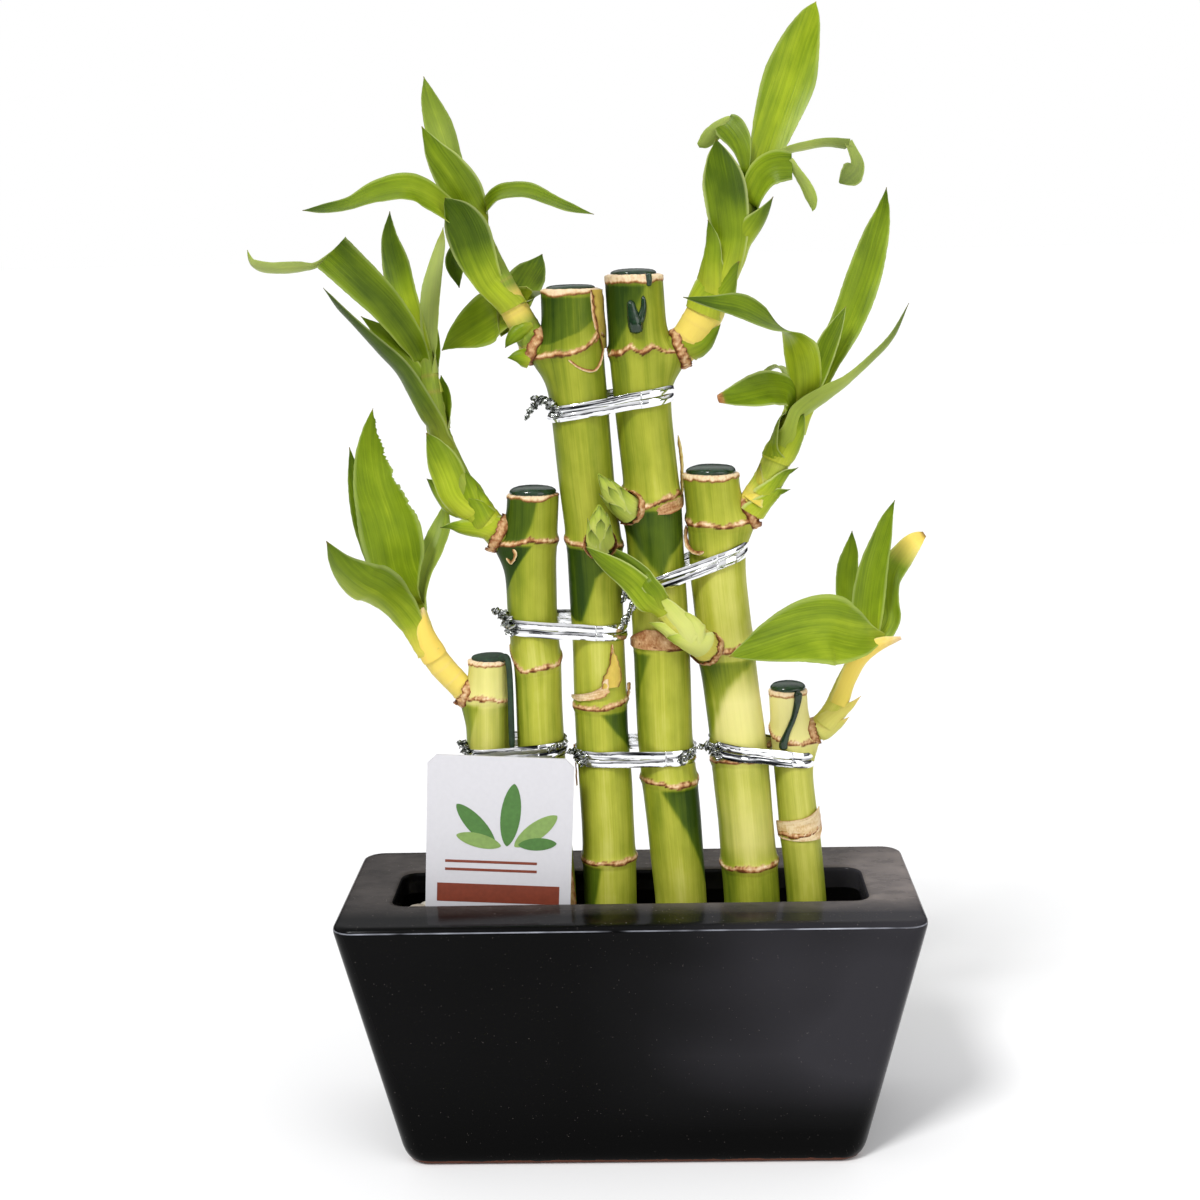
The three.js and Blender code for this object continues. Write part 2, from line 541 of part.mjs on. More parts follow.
// Two directions across a path: one in the plane that faces the viewer, one towards its depth
function acrossPath(stations, t) {
  const step = 0.01;
  const before = new THREE.Vector3(...along(stations, Math.max(t - step, 0)).slice(0, 3));
  const after = new THREE.Vector3(...along(stations, Math.min(t + step, 1)).slice(0, 3));
  const tangent = after.sub(before).normalize();
  const wide = new THREE.Vector3(0, 1, 0).cross(tangent).normalize();
  const deep = tangent.clone().cross(wide);
  return { tangent, wide, deep };
}

function circle(centre, radius, wide, deep, sides) {
  const ring = [];
  for (let k = 0; k < sides; k += 1) {
    const angle = 2 * Math.PI * k / sides;
    ring.push(centre.clone()
      .addScaledVector(wide, radius * Math.cos(angle))
      .addScaledVector(deep, radius * Math.sin(angle)));
  }
  return ring;
}

// Round stem through stations [x, y, z, radius]
function stem(stations, sides, steps, grow = 0) {
  const rings = [];
  for (let i = 0; i <= steps; i += 1) {
    const t = i / steps;
    const [x, y, z, radius] = along(stations, t);
    const { wide, deep } = acrossPath(stations, t);
    rings.push(circle(new THREE.Vector3(x, y, z), radius + grow, wide, deep, sides));
  }
  return loft(rings);
}

// Leaf blade with a gently cupped section and both faces split alike
function blade(stations) {
  const widest = Math.max(...stations.map((s) => s[3]));
  const across = widest > WIDE_BLADE ? 4 : 2;
  const steps = Math.max(3, Math.round((stations.length - 1) * 1.15));
  const upper = [];
  const lower = [];
  for (let i = 0; i <= steps; i += 1) {
    const t = i / steps;
    const [x, y, z, half, rollDegrees] = along(stations, t);
    const { tangent, wide, deep } = acrossPath(stations, t);
    const roll = THREE.MathUtils.degToRad(rollDegrees);
    const side = wide.clone().multiplyScalar(Math.cos(roll)).addScaledVector(deep, Math.sin(roll));
    const face = side.clone().cross(tangent);
    const cup = THREE.MathUtils.lerp(BLADE_CUP.root, BLADE_CUP.blade, Math.min(t * 2, 1));
    const reach = Math.max(half, BLADE_TIP) / cup;
    for (let j = 0; j <= across; j += 1) {
      const turn = cup * (2 * j / across - 1);
      const point = new THREE.Vector3(x, y, z)
        .addScaledVector(side, reach * Math.sin(turn))
        .addScaledVector(face, reach * (1 - Math.cos(turn)));
      upper.push(point.clone().addScaledVector(face, BLADE_THICKNESS / 2));
      lower.push(point.clone().addScaledVector(face, -BLADE_THICKNESS / 2));
    }
  }
  const row = across + 1;
  const under = upper.length;
  const triangles = [];
  const quad = (a, b, c, d) => triangles.push([a, b, c], [a, c, d]);
  for (let i = 0; i < steps; i += 1) {
    for (let j = 0; j < across; j += 1) {
      const a = i * row + j;
      const b = a + 1;
      const c = b + row;
      const d = a + row;
      triangles.push([a, b, c], [a, c, d]);
      triangles.push([a + under, c + under, b + under], [a + under, d + under, c + under]);
    }
    const left = i * row;
    const right = left + across;
    quad(left, left + row, left + row + under, left + under);
    quad(right, right + under, right + row + under, right + row);
  }
  const tip = steps * row;
  for (let j = 0; j < across; j += 1) {
    quad(j, j + under, j + 1 + under, j + 1);
    quad(tip + j, tip + j + 1, tip + j + 1 + under, tip + j + under);
  }
  return solid([...upper, ...lower], triangles);
}

// Axis point and radius of a cane at a height
function caneAt(cane, z) {
  const { axis } = CANES[cane];
  for (let i = 0; i + 1 < axis.length; i += 1) {
    const [x1, z1, r1] = axis[i];
    const [x2, z2, r2] = axis[i + 1];
    if (z >= z2 || i + 2 === axis.length) {
      const t = (z - z2) / (z1 - z2);
      const radius = THREE.MathUtils.lerp(r2, r1, Math.max(t, 0));
      return { x: THREE.MathUtils.lerp(x2, x1, t), radius };
    }
  }
  throw new Error(`no axis for ${cane}`);
}

// Cane with its node rings and the stubs of its shoots
function cane(name, grow = 0) {
  const { axis, rings, stubs } = CANES[name];
  const top = axis[0][1];
  const levels = [[CANE_FOOT, -0.6], [CANE_FOOT + 1, 0], [top - CUT_EDGE.drop, 0],
    [top, -CUT_EDGE.inset]];
  for (const [, z] of axis.slice(1)) {
    if (rings.every((ring) => Math.abs(ring - z) > 2)) levels.push([z, 0]);
  }
  for (const z of rings) {
    const { swell, reach } = NODE_RING;
    levels.push([z - reach, 0], [z, swell], [z + reach, 0]);
  }
  levels.sort((a, b) => a[0] - b[0]);
  const wide = new THREE.Vector3(1, 0, 0);
  const deep = new THREE.Vector3(0, 1, 0);
  let body = loft(levels.map(([z, swell]) => {
    const { x, radius } = caneAt(name, z);
    return circle(new THREE.Vector3(x, 0, z), radius + swell + grow, wide, deep, CANE_SIDES);
  }));
  for (const { from, to, radius } of stubs) {
    const start = new THREE.Vector3(...from);
    const end = new THREE.Vector3(...to);
    const direction = end.clone().sub(start).normalize();
    end.addScaledVector(direction, grow - GAP);
    const stations = [0, 0.5, 0.8, 1].map((t) => {
      const flare = t === 1 ? STUB_FLARE : 0;
      return [...start.clone().lerp(end, t).toArray(), radius + grow - flare];
    });
    body = body.add(stem(stations, STEM_SIDES, 3));
  }
  return body;
}

// Largest body left when room has been made for a neighbour
function clearOf(piece, neighbour) {
  const bodies = piece.subtract(neighbour).decompose();
  return bodies.sort((a, b) => b.volume() - a.volume())[0];
}

function shoot({ stem: stations, leaves }) {
  const steps = stations.length + 1;
  return Object.values(leaves).reduce(
    (body, leaf) => body.add(blade(leaf)),
    stem(stations, STEM_SIDES, steps),
  );
}

// Bud: a swollen core under overlapping pointed scales
function bud(stations) {
  let body = stem(stations, STEM_SIDES, 4);
  const scales = 3;
  for (let k = 0; k < scales; k += 1) {
    const turn = 2 * Math.PI * k / scales;
    const scale = BUD_SCALE.map(([t, out, half]) => {
      const [x, y, z, radius] = along(stations, t + SCALE_STAGGER * k);
      const { wide, deep } = acrossPath(stations, t);
      const centre = new THREE.Vector3(x, y, z)
        .addScaledVector(wide, radius * out * Math.cos(turn))
        .addScaledVector(deep, radius * out * Math.sin(turn));
      return [...centre.toArray(), radius * half, 90 + THREE.MathUtils.radToDeg(turn)];
    });
    body = body.add(blade(scale));
  }
  return body;
}

// Flat-bottomed dome of wax on a cut top, by its profile, with the drip that ran from it
function waxCap({ cane: name, height, drip }) {
  const top = CANES[name].axis[0][1] + GAP;
  const { x, radius } = caneAt(name, top);
  const wide = new THREE.Vector3(1, 0, 0);
  const deep = new THREE.Vector3(0, 1, 0);
  const cap = loft(WAX_PROFILE.map(([up, share]) => circle(
    new THREE.Vector3(x, 0, top + up * height), radius * share, wide, deep, CANE_SIDES)));
  return drip ? cap.add(stem(drip, DRIP_SIDES, drip.length + 1)) : cap;
}

// Closed path round two canes, [x, y] points with the outward direction at each
function tiePath(left, right) {
  const flat = Math.cos(Math.PI / (2 * TIE_STEPS));
  const path = [];
  for (const [centre, start] of [[right, -Math.PI / 2], [left, Math.PI / 2]]) {
    for (let k = 0; k <= TIE_STEPS; k += 1) {
      const angle = start + Math.PI * k / TIE_STEPS;
      const out = new THREE.Vector2(Math.cos(angle), Math.sin(angle));
      path.push({ x: centre.x, out, radius: (centre.radius + GAP) / flat + TIE_SLACK });
    }
  }
  return path;
}

function strand(left, right, leftHeight, rightHeight) {
  const path = tiePath(left, right);
  const sections = path.map(({ x, out, radius }) => {
    const t = (x + out.x * radius - left.x) / (right.x - left.x);
    const z = THREE.MathUtils.lerp(leftHeight, rightHeight, t);
    const corner = (reach, up) => new THREE.Vector3(
      x + out.x * (radius + reach), out.y * (radius + reach), z + up);
    const { height, thickness } = STRAND;
    return [
      corner(0, -height / 2), corner(thickness, -height / 2),
      corner(thickness, height / 2), corner(0, height / 2),
    ];
  });
  const count = sections.length;
  const triangles = [];
  for (let i = 0; i < count; i += 1) {
    const next = (i + 1) % count;
    for (let j = 0; j < 4; j += 1) {
      const a = i * 4 + j;
      const b = i * 4 + (j + 1) % 4;
      const c = next * 4 + (j + 1) % 4;
      const d = next * 4 + j;
      triangles.push([a, d, c], [a, c, b]);
    }
  }
  return solid(sections.flat(), triangles);
}

// Tie: two strands round a pair of canes, joined where their ends are twisted together
function tie({ canes, heights, tail }) {
  const [left, right] = canes.map((name, i) => ({ ...caneAt(name, heights[i]) }));
  const half = STRAND.spacing / 2;
  const lower = strand(left, right, heights[0] - half, heights[1] - half);
  const upper = strand(left, right, heights[0] + half, heights[1] + half);
  const out = (left.radius + 2 * STRAND.thickness) * Math.SQRT1_2;
  const x = left.x - out;
  const slope = (heights[1] - heights[0]) / (right.x - left.x);
  const z = heights[0] - slope * out;
  const middle = [(x + tail[0]) / 2, (tail[1] - out) / 2, (z + half + tail[2]) / 2 + KNOT.arch];
  const knot = stem([
    [x, -out, z - 2 * half, KNOT.foot],
    [x - GAP, -out - GAP, z + half, KNOT.bend],
    [...middle, KNOT.middle],
    [...tail, KNOT.end],
  ], DRIP_SIDES, 5);
  return lower.add(upper).add(knot);
}

function tagOutline(width, height, corner) {
  const shape = new THREE.Shape();
  const x = width / 2;
  shape.moveTo(-x, 0);
  shape.lineTo(x, 0);
  shape.lineTo(x, height - corner);
  shape.lineTo(x - corner, height);
  shape.lineTo(-x + corner, height);
  shape.lineTo(-x, height - corner);
  shape.closePath();
  return shape.extractPoints(1).shape;
}

// Card that stands in the slot in front of the two left canes, leaning to the right
function careTag(grow = 0) {
  const outline = tagOutline(TAG.width + 2 * grow, TAG.height + 2 * grow, TAG.corner);
  const place = new THREE.Matrix4()
    .makeTranslation(...TAG_PLACE.foot)
    .multiply(new THREE.Matrix4().makeRotationY(THREE.MathUtils.degToRad(TAG_PLACE.lean)));
  const faces = [-grow, TAG.thickness + grow].map((y) => outline
    .map((p) => new THREE.Vector3(p.x, y, p.y - grow).applyMatrix4(place)));
  return loft(faces.map((face) => face.reverse()));
}

// Level of the pebbles along the slot, with rounded bumps
function bedLevel(x, y) {
  const t = x / SLOT.length;
  const slope = t < 0
    ? THREE.MathUtils.lerp(BED_RISE.middle, BED_RISE.left, -2 * t)
    : THREE.MathUtils.lerp(BED_RISE.middle, BED_RISE.right, 2 * t);
  const along = Math.sin(2 * Math.PI * x / PEBBLE);
  const wave = along * Math.cos(2 * Math.PI * (y + PEBBLE_SLANT * x) / PEBBLE);
  return slope + BED_BUMP * wave;
}

function pebbleRelief() {
  const margin = 2;
  const lengthSteps = Math.round(SLOT.length / RELIEF_STEP);
  const depthSteps = Math.round(SLOT.depth / RELIEF_STEP);
  const rows = depthSteps + 1;
  const base = BED_LEVEL - RELIEF_DEPTH;
  const top = [];
  const bottom = [];
  for (let i = 0; i <= lengthSteps; i += 1) {
    for (let j = 0; j <= depthSteps; j += 1) {
      const x = (i / lengthSteps - 0.5) * (SLOT.length + margin);
      const y = (j / depthSteps - 0.5) * (SLOT.depth + margin);
      top.push(new THREE.Vector3(x, y, bedLevel(x, y)));
      bottom.push(new THREE.Vector3(x, y, base));
    }
  }
  const under = top.length;
  const triangles = [];
  for (let i = 0; i < lengthSteps; i += 1) {
    for (let j = 0; j < depthSteps; j += 1) {
      const a = i * rows + j;
      const b = a + rows;
      triangles.push([a, b, b + 1], [a, b + 1, a + 1]);
      triangles.push([a + under, b + 1 + under, b + under]);
      triangles.push([a + under, a + 1 + under, b + 1 + under]);
    }
  }
  const wall = (a, b) => triangles.push([a, b + under, b], [a, a + under, b + under]);
  for (let i = 0; i < lengthSteps; i += 1) {
    wall(i * rows, (i + 1) * rows);
    wall((i + 1) * rows + depthSteps, i * rows + depthSteps);
  }
  for (let j = 0; j < depthSteps; j += 1) {
    wall(j + 1, j);
    wall(lengthSteps * rows + j, lengthSteps * rows + j + 1);
  }
  return solid([...top, ...bottom], triangles);
}

// Pebbles: a plain block in the hollow and a bumpy top in the slot, with a plain hole for each
// cane and for the foot of the tag
function pebbleBed() {
  const inset = POT_WALL + GAP;
  const block = loft([potRing(POT_WALL + GAP, inset), potRing(BED_LEVEL, inset)]);
  const neck = loft([BED_LEVEL - RELIEF_DEPTH - 1, POT_HEIGHT].map((z) => slotRing(z, -GAP)));
  let bed = block.add(pebbleRelief().intersect(neck));
  for (const name of Object.keys(CANES)) {
    const wide = new THREE.Vector3(1, 0, 0);
    const deep = new THREE.Vector3(0, 1, 0);
    const levels = [CANE_FOOT - GAP, POT_HEIGHT - 1];
    bed = bed.subtract(loft(levels.map((z) => {
      const { x, radius } = caneAt(name, z);
      return circle(new THREE.Vector3(x, 0, z), radius + GAP, wide, deep, CANE_SIDES);
    })));
  }
  return bed.subtract(careTag(GAP));
}

function add(group, name, body, colour) {
  const { vertProperties, triVerts } = body.getMesh();
  const geometry = new THREE.BufferGeometry();
  geometry.setAttribute('position', new THREE.BufferAttribute(vertProperties, 3));
  geometry.setIndex(new THREE.BufferAttribute(triVerts, 1));
  geometry.computeVertexNormals();
  const mesh = new THREE.Mesh(geometry, new THREE.MeshStandardMaterial(COLOURS[colour]));
  mesh.name = name;
  group.add(mesh);
}

const plant = new THREE.Group();
add(plant, 'planter', planter(), 'planter');
add(plant, 'pebble_bed', pebbleBed(), 'pebbles');

const clearance = {};
for (const name of Object.keys(CANES)) {
  add(plant, name, cane(name), 'cane');
  clearance[name] = cane(name, GAP);
}
const allCanes = Object.values(clearance).reduce((a, b) => a.add(b));

for (const [name, cap] of Object.entries(WAX)) {
  add(plant, name, clearOf(waxCap(cap), allCanes), 'wax');
}
for (const [name, parts] of Object.entries(SHOOTS)) {
  add(plant, name, clearOf(shoot(parts), allCanes), 'leaf');
}
for (const [name, stations] of Object.entries(BUDS)) {
  add(plant, name, clearOf(bud(stations), allCanes), 'bud');
}
for (const [name, parts] of Object.entries(TIES)) {
  add(plant, name, tie(parts), 'foil');
}
add(plant, 'care_tag', careTag(), 'card');

export default plant;
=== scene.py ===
import math

import bpy
import numpy as np
from mathutils import Matrix, Vector


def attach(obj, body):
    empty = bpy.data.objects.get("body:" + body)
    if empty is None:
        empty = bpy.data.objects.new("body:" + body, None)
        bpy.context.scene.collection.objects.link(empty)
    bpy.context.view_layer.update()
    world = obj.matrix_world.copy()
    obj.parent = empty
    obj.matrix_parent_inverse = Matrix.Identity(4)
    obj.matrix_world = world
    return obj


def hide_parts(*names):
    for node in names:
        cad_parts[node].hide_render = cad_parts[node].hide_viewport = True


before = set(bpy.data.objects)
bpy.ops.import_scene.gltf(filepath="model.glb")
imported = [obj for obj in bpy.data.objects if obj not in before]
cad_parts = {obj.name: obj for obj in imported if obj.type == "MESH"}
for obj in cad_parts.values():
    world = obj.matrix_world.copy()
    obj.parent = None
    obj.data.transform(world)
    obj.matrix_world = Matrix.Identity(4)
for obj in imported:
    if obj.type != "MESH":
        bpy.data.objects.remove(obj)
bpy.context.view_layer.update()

# Lengths are in millimetres and are scaled to metres when a mesh is made. Angles in the tables
# are in degrees. The front of the object looks along -y, with x to the right and z up.
MM = 0.001

# Outlines of the planter's top, its base and its slot as (length, depth, corner radius)
POT_TOP = (152, 64, 5.5)
POT_BASE = (119.5, 54, 6)
SLOT = (124, 26.5, 4)
POT_HEIGHT = 67
POT_WALL = 6
POT_PLATE = 6
SLOT_LIP = 1.6
# Rounded foot as (height, inset), rounded rim as (depth under the top, inset), and rounded lip
# of the slot as (depth under the top, outset as a share of the lip)
FOOT_EDGE = [(0, 3.4), (0, 2.6), (0.3, 1.6), (0.9, 0.9), (2, 0.4), (3.4, 0.1), (5, 0)]
SIDE_LEVELS = (16, 28, 40, 52, 60)
RIM_EDGE = [(3, 0), (2.2, 0.03), (1.5, 0.15), (0.9, 0.4), (0.45, 0.8), (0.15, 1.3), (0, 2),
    (0, 3.5)]
LIP_EDGE = [(0, 1.8), (0, 1.2), (0.1, 0.8), (0.35, 0.45), (0.8, 0.15), (1.5, 0), (3.5, 0),
    (6, 0)]
CORNER_STEPS = 8
EDGE_STEPS = 13

# Level of the pebble bed as (x, z). Its pebbles lie in two layers at depths under that level, on
# a grid given as (count, spacing, first place) along x and along y; jitter is along x, y and z.
BED_RISE = ((-62, 61.5), (0, 58), (62, 56))
CORE_TOP = 50
PEBBLE_DEPTHS = (7.5, 3.1)
PEBBLE_COLUMNS = (17, 7.25, -58)
PEBBLE_ROWS = (4, 6.4, -9.6)
PEBBLE_AREA = (58.5, 10.8)
PEBBLE_JITTER = (1.6, 1.3, 0.9)
LAYER_SHIFT = 1.8
# Half length, half depth and half height of a pebble as (mean, spread)
PEBBLE_RADII = ((4.1, 0.6), (3.3, 0.5), (2.6, 0.4))

CANE_FOOT = 14
CANE_SIDES = 96
# Steps up and down a cane over which its axis is eased, as (step, share)
AXIS_EASE = ((-4, 0.1), (-2, 0.2), (0, 0.4), (2, 0.2), (4, 0.1))

# Axis of each cane from the top to the foot as (x, z, radius), the lines of its node rings and
# of its cut rim as (turn from the front, z), the stubs that carry its shoots as (start, end,
# radius), its cream parts as (z, share), its darker patches as ([(z, left turn, right turn)...],
# change of tone, softness), which are partly painted shadows of its shoots, buds and leaves and
# partly its own darker green, and its tones as (z, left, middle, right), where a middle lighter
# than the sides is painted shading round the cane
CANES = {
    "cane_1": {
        "axis": [(-35.5, 129.5, 5.4), (-36, 117, 5.5), (-36.5, 105, 5.8), (-38, 63.5, 6),
            (-40, 14, 6)],
        "rings": [[(-85, 119), (-25, 119.5), (20, 119), (45, 118.5), (94, 118)]],
        "rim": [(-90, 128), (0, 128.2), (90, 128.4)],
        "stubs": [((-36, 0, 117.5), (-42, -0.3, 120.5), 3.6)],
        "cream": [(104, 0.1), (115, 0.2), (121, 0.5), (126, 0.4)],
        "shades": [([(118, -90, -20), (104, -90, -60)], -0.15, 10)],
        "tones": [(130, 0.7, 0.95, 0.7), (119, 0.75, 0.98, 0.7), (117, 0.5, 0.75, 0.5),
            (104, 0.66, 0.9, 0.56), (60, 0.56, 0.82, 0.46)],
    },
    "cane_2": {
        "axis": [(-22.9, 172.8, 6.7), (-24, 155.5, 6.7), (-24, 139.5, 6.5), (-23, 127, 6.2),
            (-23, 118, 6.1), (-22.5, 96.5, 6.4), (-21, 63, 6.6), (-21, 14, 6.6)],
        "rings": [[(-86, 159.5), (-34, 160), (5, 161), (92, 160)],
            [(-84, 132), (-60, 128.5), (-40, 126.8), (-25, 126.5), (14, 127.5), (64, 128),
                (93, 130)]],
        "rim": [(-71, 171.8), (-31, 172), (-3, 171.2), (20, 171.2), (52, 172.2), (84, 172.2)],
        "stubs": [((-24, 0, 158.5), (-32, -0.3, 162.5), 4.8)],
        "shades": [([(160, -120, 8), (155, -120, -22), (150, -120, -50),
                (146, -120, -80)], -0.5, 7),
            ([(172, -120, 18), (166, -120, 8), (161, -120, -8)], -0.3, 9)],
        "tones": [(173, 0.3, 0.5, 0.6), (161, 0.35, 0.6, 0.6), (159, 0.25, 0.6, 0.65),
            (140, 0.45, 0.66, 0.6), (128, 0.7, 0.9, 0.7), (125, 0.4, 0.75, 0.7),
            (100, 0.45, 0.8, 0.6), (60, 0.4, 0.75, 0.5)],
    },
    "cane_3": {
        "axis": [(-11.9, 224.6, 7.7), (-11.5, 207.5, 7.8), (-10.5, 196.5, 7.5), (-9, 175, 7.2),
            (-7.5, 160.5, 7.2), (-7, 138, 6.9), (-6.5, 109.5, 7), (-5.5, 82.5, 7.1),
            (-5, 14, 7.1)],
        "rings": [[(-86, 206.5), (-49, 207.5), (-13, 208), (17, 209), (38, 211), (52, 213)],
            [(-86, 160.5), (-41, 160), (91, 158.5)],
            [(-87, 116.5), (-6, 116.5), (29, 117), (59, 118), (91, 118)],
            [(-90, 74.6), (0, 74.8), (90, 75)]],
        "rim": [(-70, 223.5), (-34, 222.5), (2, 223), (38, 223.5)],
        "stubs": [((-12, 0, 206), (-21.5, -0.3, 210.5), 4.8),
            ((-7.5, 0, 159.5), (-5.8, -7.7, 160.6), 3.8)],
        "shades": [([(222.5, -120, 90), (218, -120, 60), (214, -120, 20),
                (211, -120, -40)], -0.2, 8),
            ([(159, -120, 80), (155, -120, 35), (151.5, -120, 9), (147.5, -120, -2),
                (143, -110, -17), (140, -60, -28)], -0.45, 12),
            ([(115.5, -5, 120), (110, 30, 120), (104.5, 75, 120)], -0.4, 11),
            ([(74, -120, -10), (66, -120, -25), (58, -120, -40)], -0.4, 9)],
        "tones": [(225, 0.15, 0.35, 0.4), (209, 0.3, 0.55, 0.5), (206, 0.4, 0.55, 0.45),
            (185, 0.38, 0.6, 0.45), (162, 0.48, 0.7, 0.55), (159, 0.35, 0.55, 0.45),
            (142, 0.45, 0.62, 0.55), (136, 0.6, 0.85, 0.7), (120, 0.55, 0.85, 0.65),
            (116, 0.45, 0.7, 0.35), (90, 0.5, 0.85, 0.6), (60, 0.45, 0.8, 0.5)],
    },
    "cane_4": {
        "axis": [(4, 227.8, 7.3), (5, 208, 7.4), (6, 191.5, 7.2), (8, 170.5, 7.2),
            (8.5, 154, 7.3), (9.5, 132.5, 7.4), (10, 108, 7.2), (11.5, 90.5, 7.3),
            (13.5, 63, 6.8), (14.5, 14, 6.8)],
        "rings": [[(-88, 208.5), (-79, 207), (-32, 208), (-14, 209.5), (7, 208), (28, 209.5),
                (50, 208), (90, 208)],
            [(-88, 173), (-38, 172.5), (-17, 169), (16, 170.5), (60, 172), (90, 171)],
            [(-89, 133), (-26, 133.5), (15, 132), (50, 132), (90, 132)],
            [(-88, 96.5), (-22, 96.5), (16, 95.5), (90, 96)]],
        "rim": [(-80, 225.6), (0, 225.6), (80, 226)],
        "stubs": [((5, 0, 205), (15.5, -0.3, 209), 4.8), ((8, 0, 168.5), (2.2, -6, 169.4), 3.9)],
        "shades": [([(225, -120, 30), (216, -120, -10), (209, -120, -50)], -0.25, 14),
            ([(168.5, -120, 120), (162, -54, 90), (157, -32, 40), (152, -5, 21), (150, 7, 9)],
                -0.36, 15),
            ([(131, -120, -20), (122, -120, -50), (112, -120, -75)], -0.25, 10),
            ([(94.8, -25, 120), (84, 20, 120), (74, 55, 120), (68, 75, 120)], -0.4, 11)],
        "tones": [(228, 0.1, 0.3, 0.45), (209, 0.3, 0.55, 0.6), (206, 0.35, 0.6, 0.55),
            (180, 0.42, 0.66, 0.55), (172, 0.52, 0.76, 0.62), (168, 0.3, 0.5, 0.45),
            (151, 0.35, 0.62, 0.5), (148, 0.5, 0.85, 0.7),
            (134, 0.6, 0.9, 0.7), (131, 0.4, 0.75, 0.6), (97, 0.5, 0.85, 0.6),
            (94, 0.44, 0.6, 0.29), (75, 0.52, 0.8, 0.52), (60, 0.56, 0.92, 0.66)],
    },
    "cane_5": {
        "axis": [(22.8, 177.3, 7.1), (24, 163, 7.1), (24.5, 149, 7.1), (26.5, 129.5, 7.2),
            (29, 108, 7.3), (31, 84.5, 7.3), (32.5, 63, 7.3), (33, 14, 7.3)],
        "rings": [[(-90, 165), (-71, 164), (-24, 164), (15, 163.5), (83, 164.5), (88, 165.5)],
            [(-31, 134), (-11, 131), (1, 131), (88, 133.5)],
            [(-90, 101), (-31, 102), (4, 102), (90, 101.5)],
            [(-90, 73), (-40, 72.5), (5, 72.5), (44, 73), (88, 73.5)]],
        "rim": [(-90, 176), (-27, 175.6), (15, 175.6), (64, 176.2)],
        "cream": [(74, 0), (80, 0.3), (96, 0.1), (104, 0.2), (110, 0.5), (118, 0.6), (127, 0.2),
            (140, 0)],
        "stubs": [((24, 0, 162.5), (32.5, -0.3, 167), 4.3),
            ((26.5, 0, 129), (21.3, -6.3, 132.6), 4.1)],
        "shades": [([(129, -120, 80), (126, -120, 42), (122, -120, 12), (116, -120, -15),
                (110, -120, -45), (104, -120, -70)], -0.22, 30)],
        "tones": [(178, 0.35, 0.6, 0.6), (165, 0.45, 0.75, 0.7), (162, 0.4, 0.7, 0.6),
            (150, 0.6, 0.95, 0.8), (134, 0.6, 0.9, 0.8), (128, 0.4, 0.6, 0.6),
            (118, 0.6, 0.95, 0.85), (108, 0.6, 0.98, 0.8), (101, 0.5, 0.8, 0.6),
            (88, 0.55, 0.92, 0.7), (74, 0.5, 0.9, 0.65), (71, 0.35, 0.6, 0.4),
            (60, 0.4, 0.6, 0.4)],
    },
    "cane_6": {
        "axis": [(42.2, 120.2, 4.9), (43, 105, 5), (44, 94, 5), (45.5, 79.5, 5.3), (47, 63, 5.2),
            (48, 14, 5.2)],
        "rings": [[(-92, 109.5), (-62, 107.5), (-3, 106), (87, 106)],
            [(-92, 81), (-16, 81), (26, 81.5), (87, 84)]],
        "rim": [(-90, 118.5), (0, 118.6), (90, 119)],
        "stubs": [((43, 0, 107.6), (48.8, -0.3, 108.6), 3.1)],
        "cream": [(60, 0), (82, 0.1), (102, 0.1), (107, 0.6), (118, 0.75)],
        "tones": [(121, 0.8, 1, 0.9), (106, 0.8, 1, 0.85), (100, 0.5, 0.8, 0.7),
            (80, 0.5, 0.85, 0.6), (60, 0.4, 0.75, 0.5)],
    },
}

# Section of the dry collar round a stub as (share of its height, lift, tone)
COLLAR = [(0, 0, 0), (0.15, 0.35, 0.3), (0.35, 0.5, 0.55), (0.6, 0.45, 0.65), (0.85, 0.5, 0.5),
    (1, 0.45, 0.1), (1, 0.2, 0.1), (0.6, 0, 0.4), (0.3, -0.1, 0.4), (0, -0.2, 0)]
COLLAR_HEIGHT = 3.2

# Dried scraps on the canes as (cane, [(z, left turn, right turn)...], tone, how brown, how yellow)
SCRAPS = [
    ("cane_3", [(209.5, 62, 92), (213, 52, 92), (218, 46, 82), (224.3, 42, 76)], 0.45, 0.2, 0.75),
    ("cane_3", [(122.6, 4, 44), (125, 8, 50), (129, 20, 42), (133, 29, 32)], 0.45, 0.15, 0.8),
    ("cane_3", [(118.8, -88, -50), (119.6, -88, -10), (120.4, -60, 12), (121.6, -15, 18),
        (123.4, 5, 20), (125, 12, 20)], 0.85, 0.9, 0.1),
    ("cane_4", [(132.5, -90, 55), (134.2, -90, 42), (136.5, -55, 8), (137.8, -30, -8)], 0.55, 1, 0),
    ("cane_4", [(167.6, -28, 30), (169, -20, 78), (170.6, 10, 92), (172.4, 55, 92)], 0.6, 1, 0),
    ("cane_2", [(56, 30, 70), (70, 22, 60), (84, 30, 62), (92, 44, 56)], 0.6, 0.85, 0.1),
    ("cane_3", [(95, -92, -80), (102, -92, -76), (106, -92, -84)], 0.7, 0.85, 0),
    ("cane_6", [(80.2, -92, 50), (82.5, -92, 80), (84.5, -92, 92), (86.5, 20, 92), (88, 60, 92)],
        0.95, 0.85, 0.2),
]

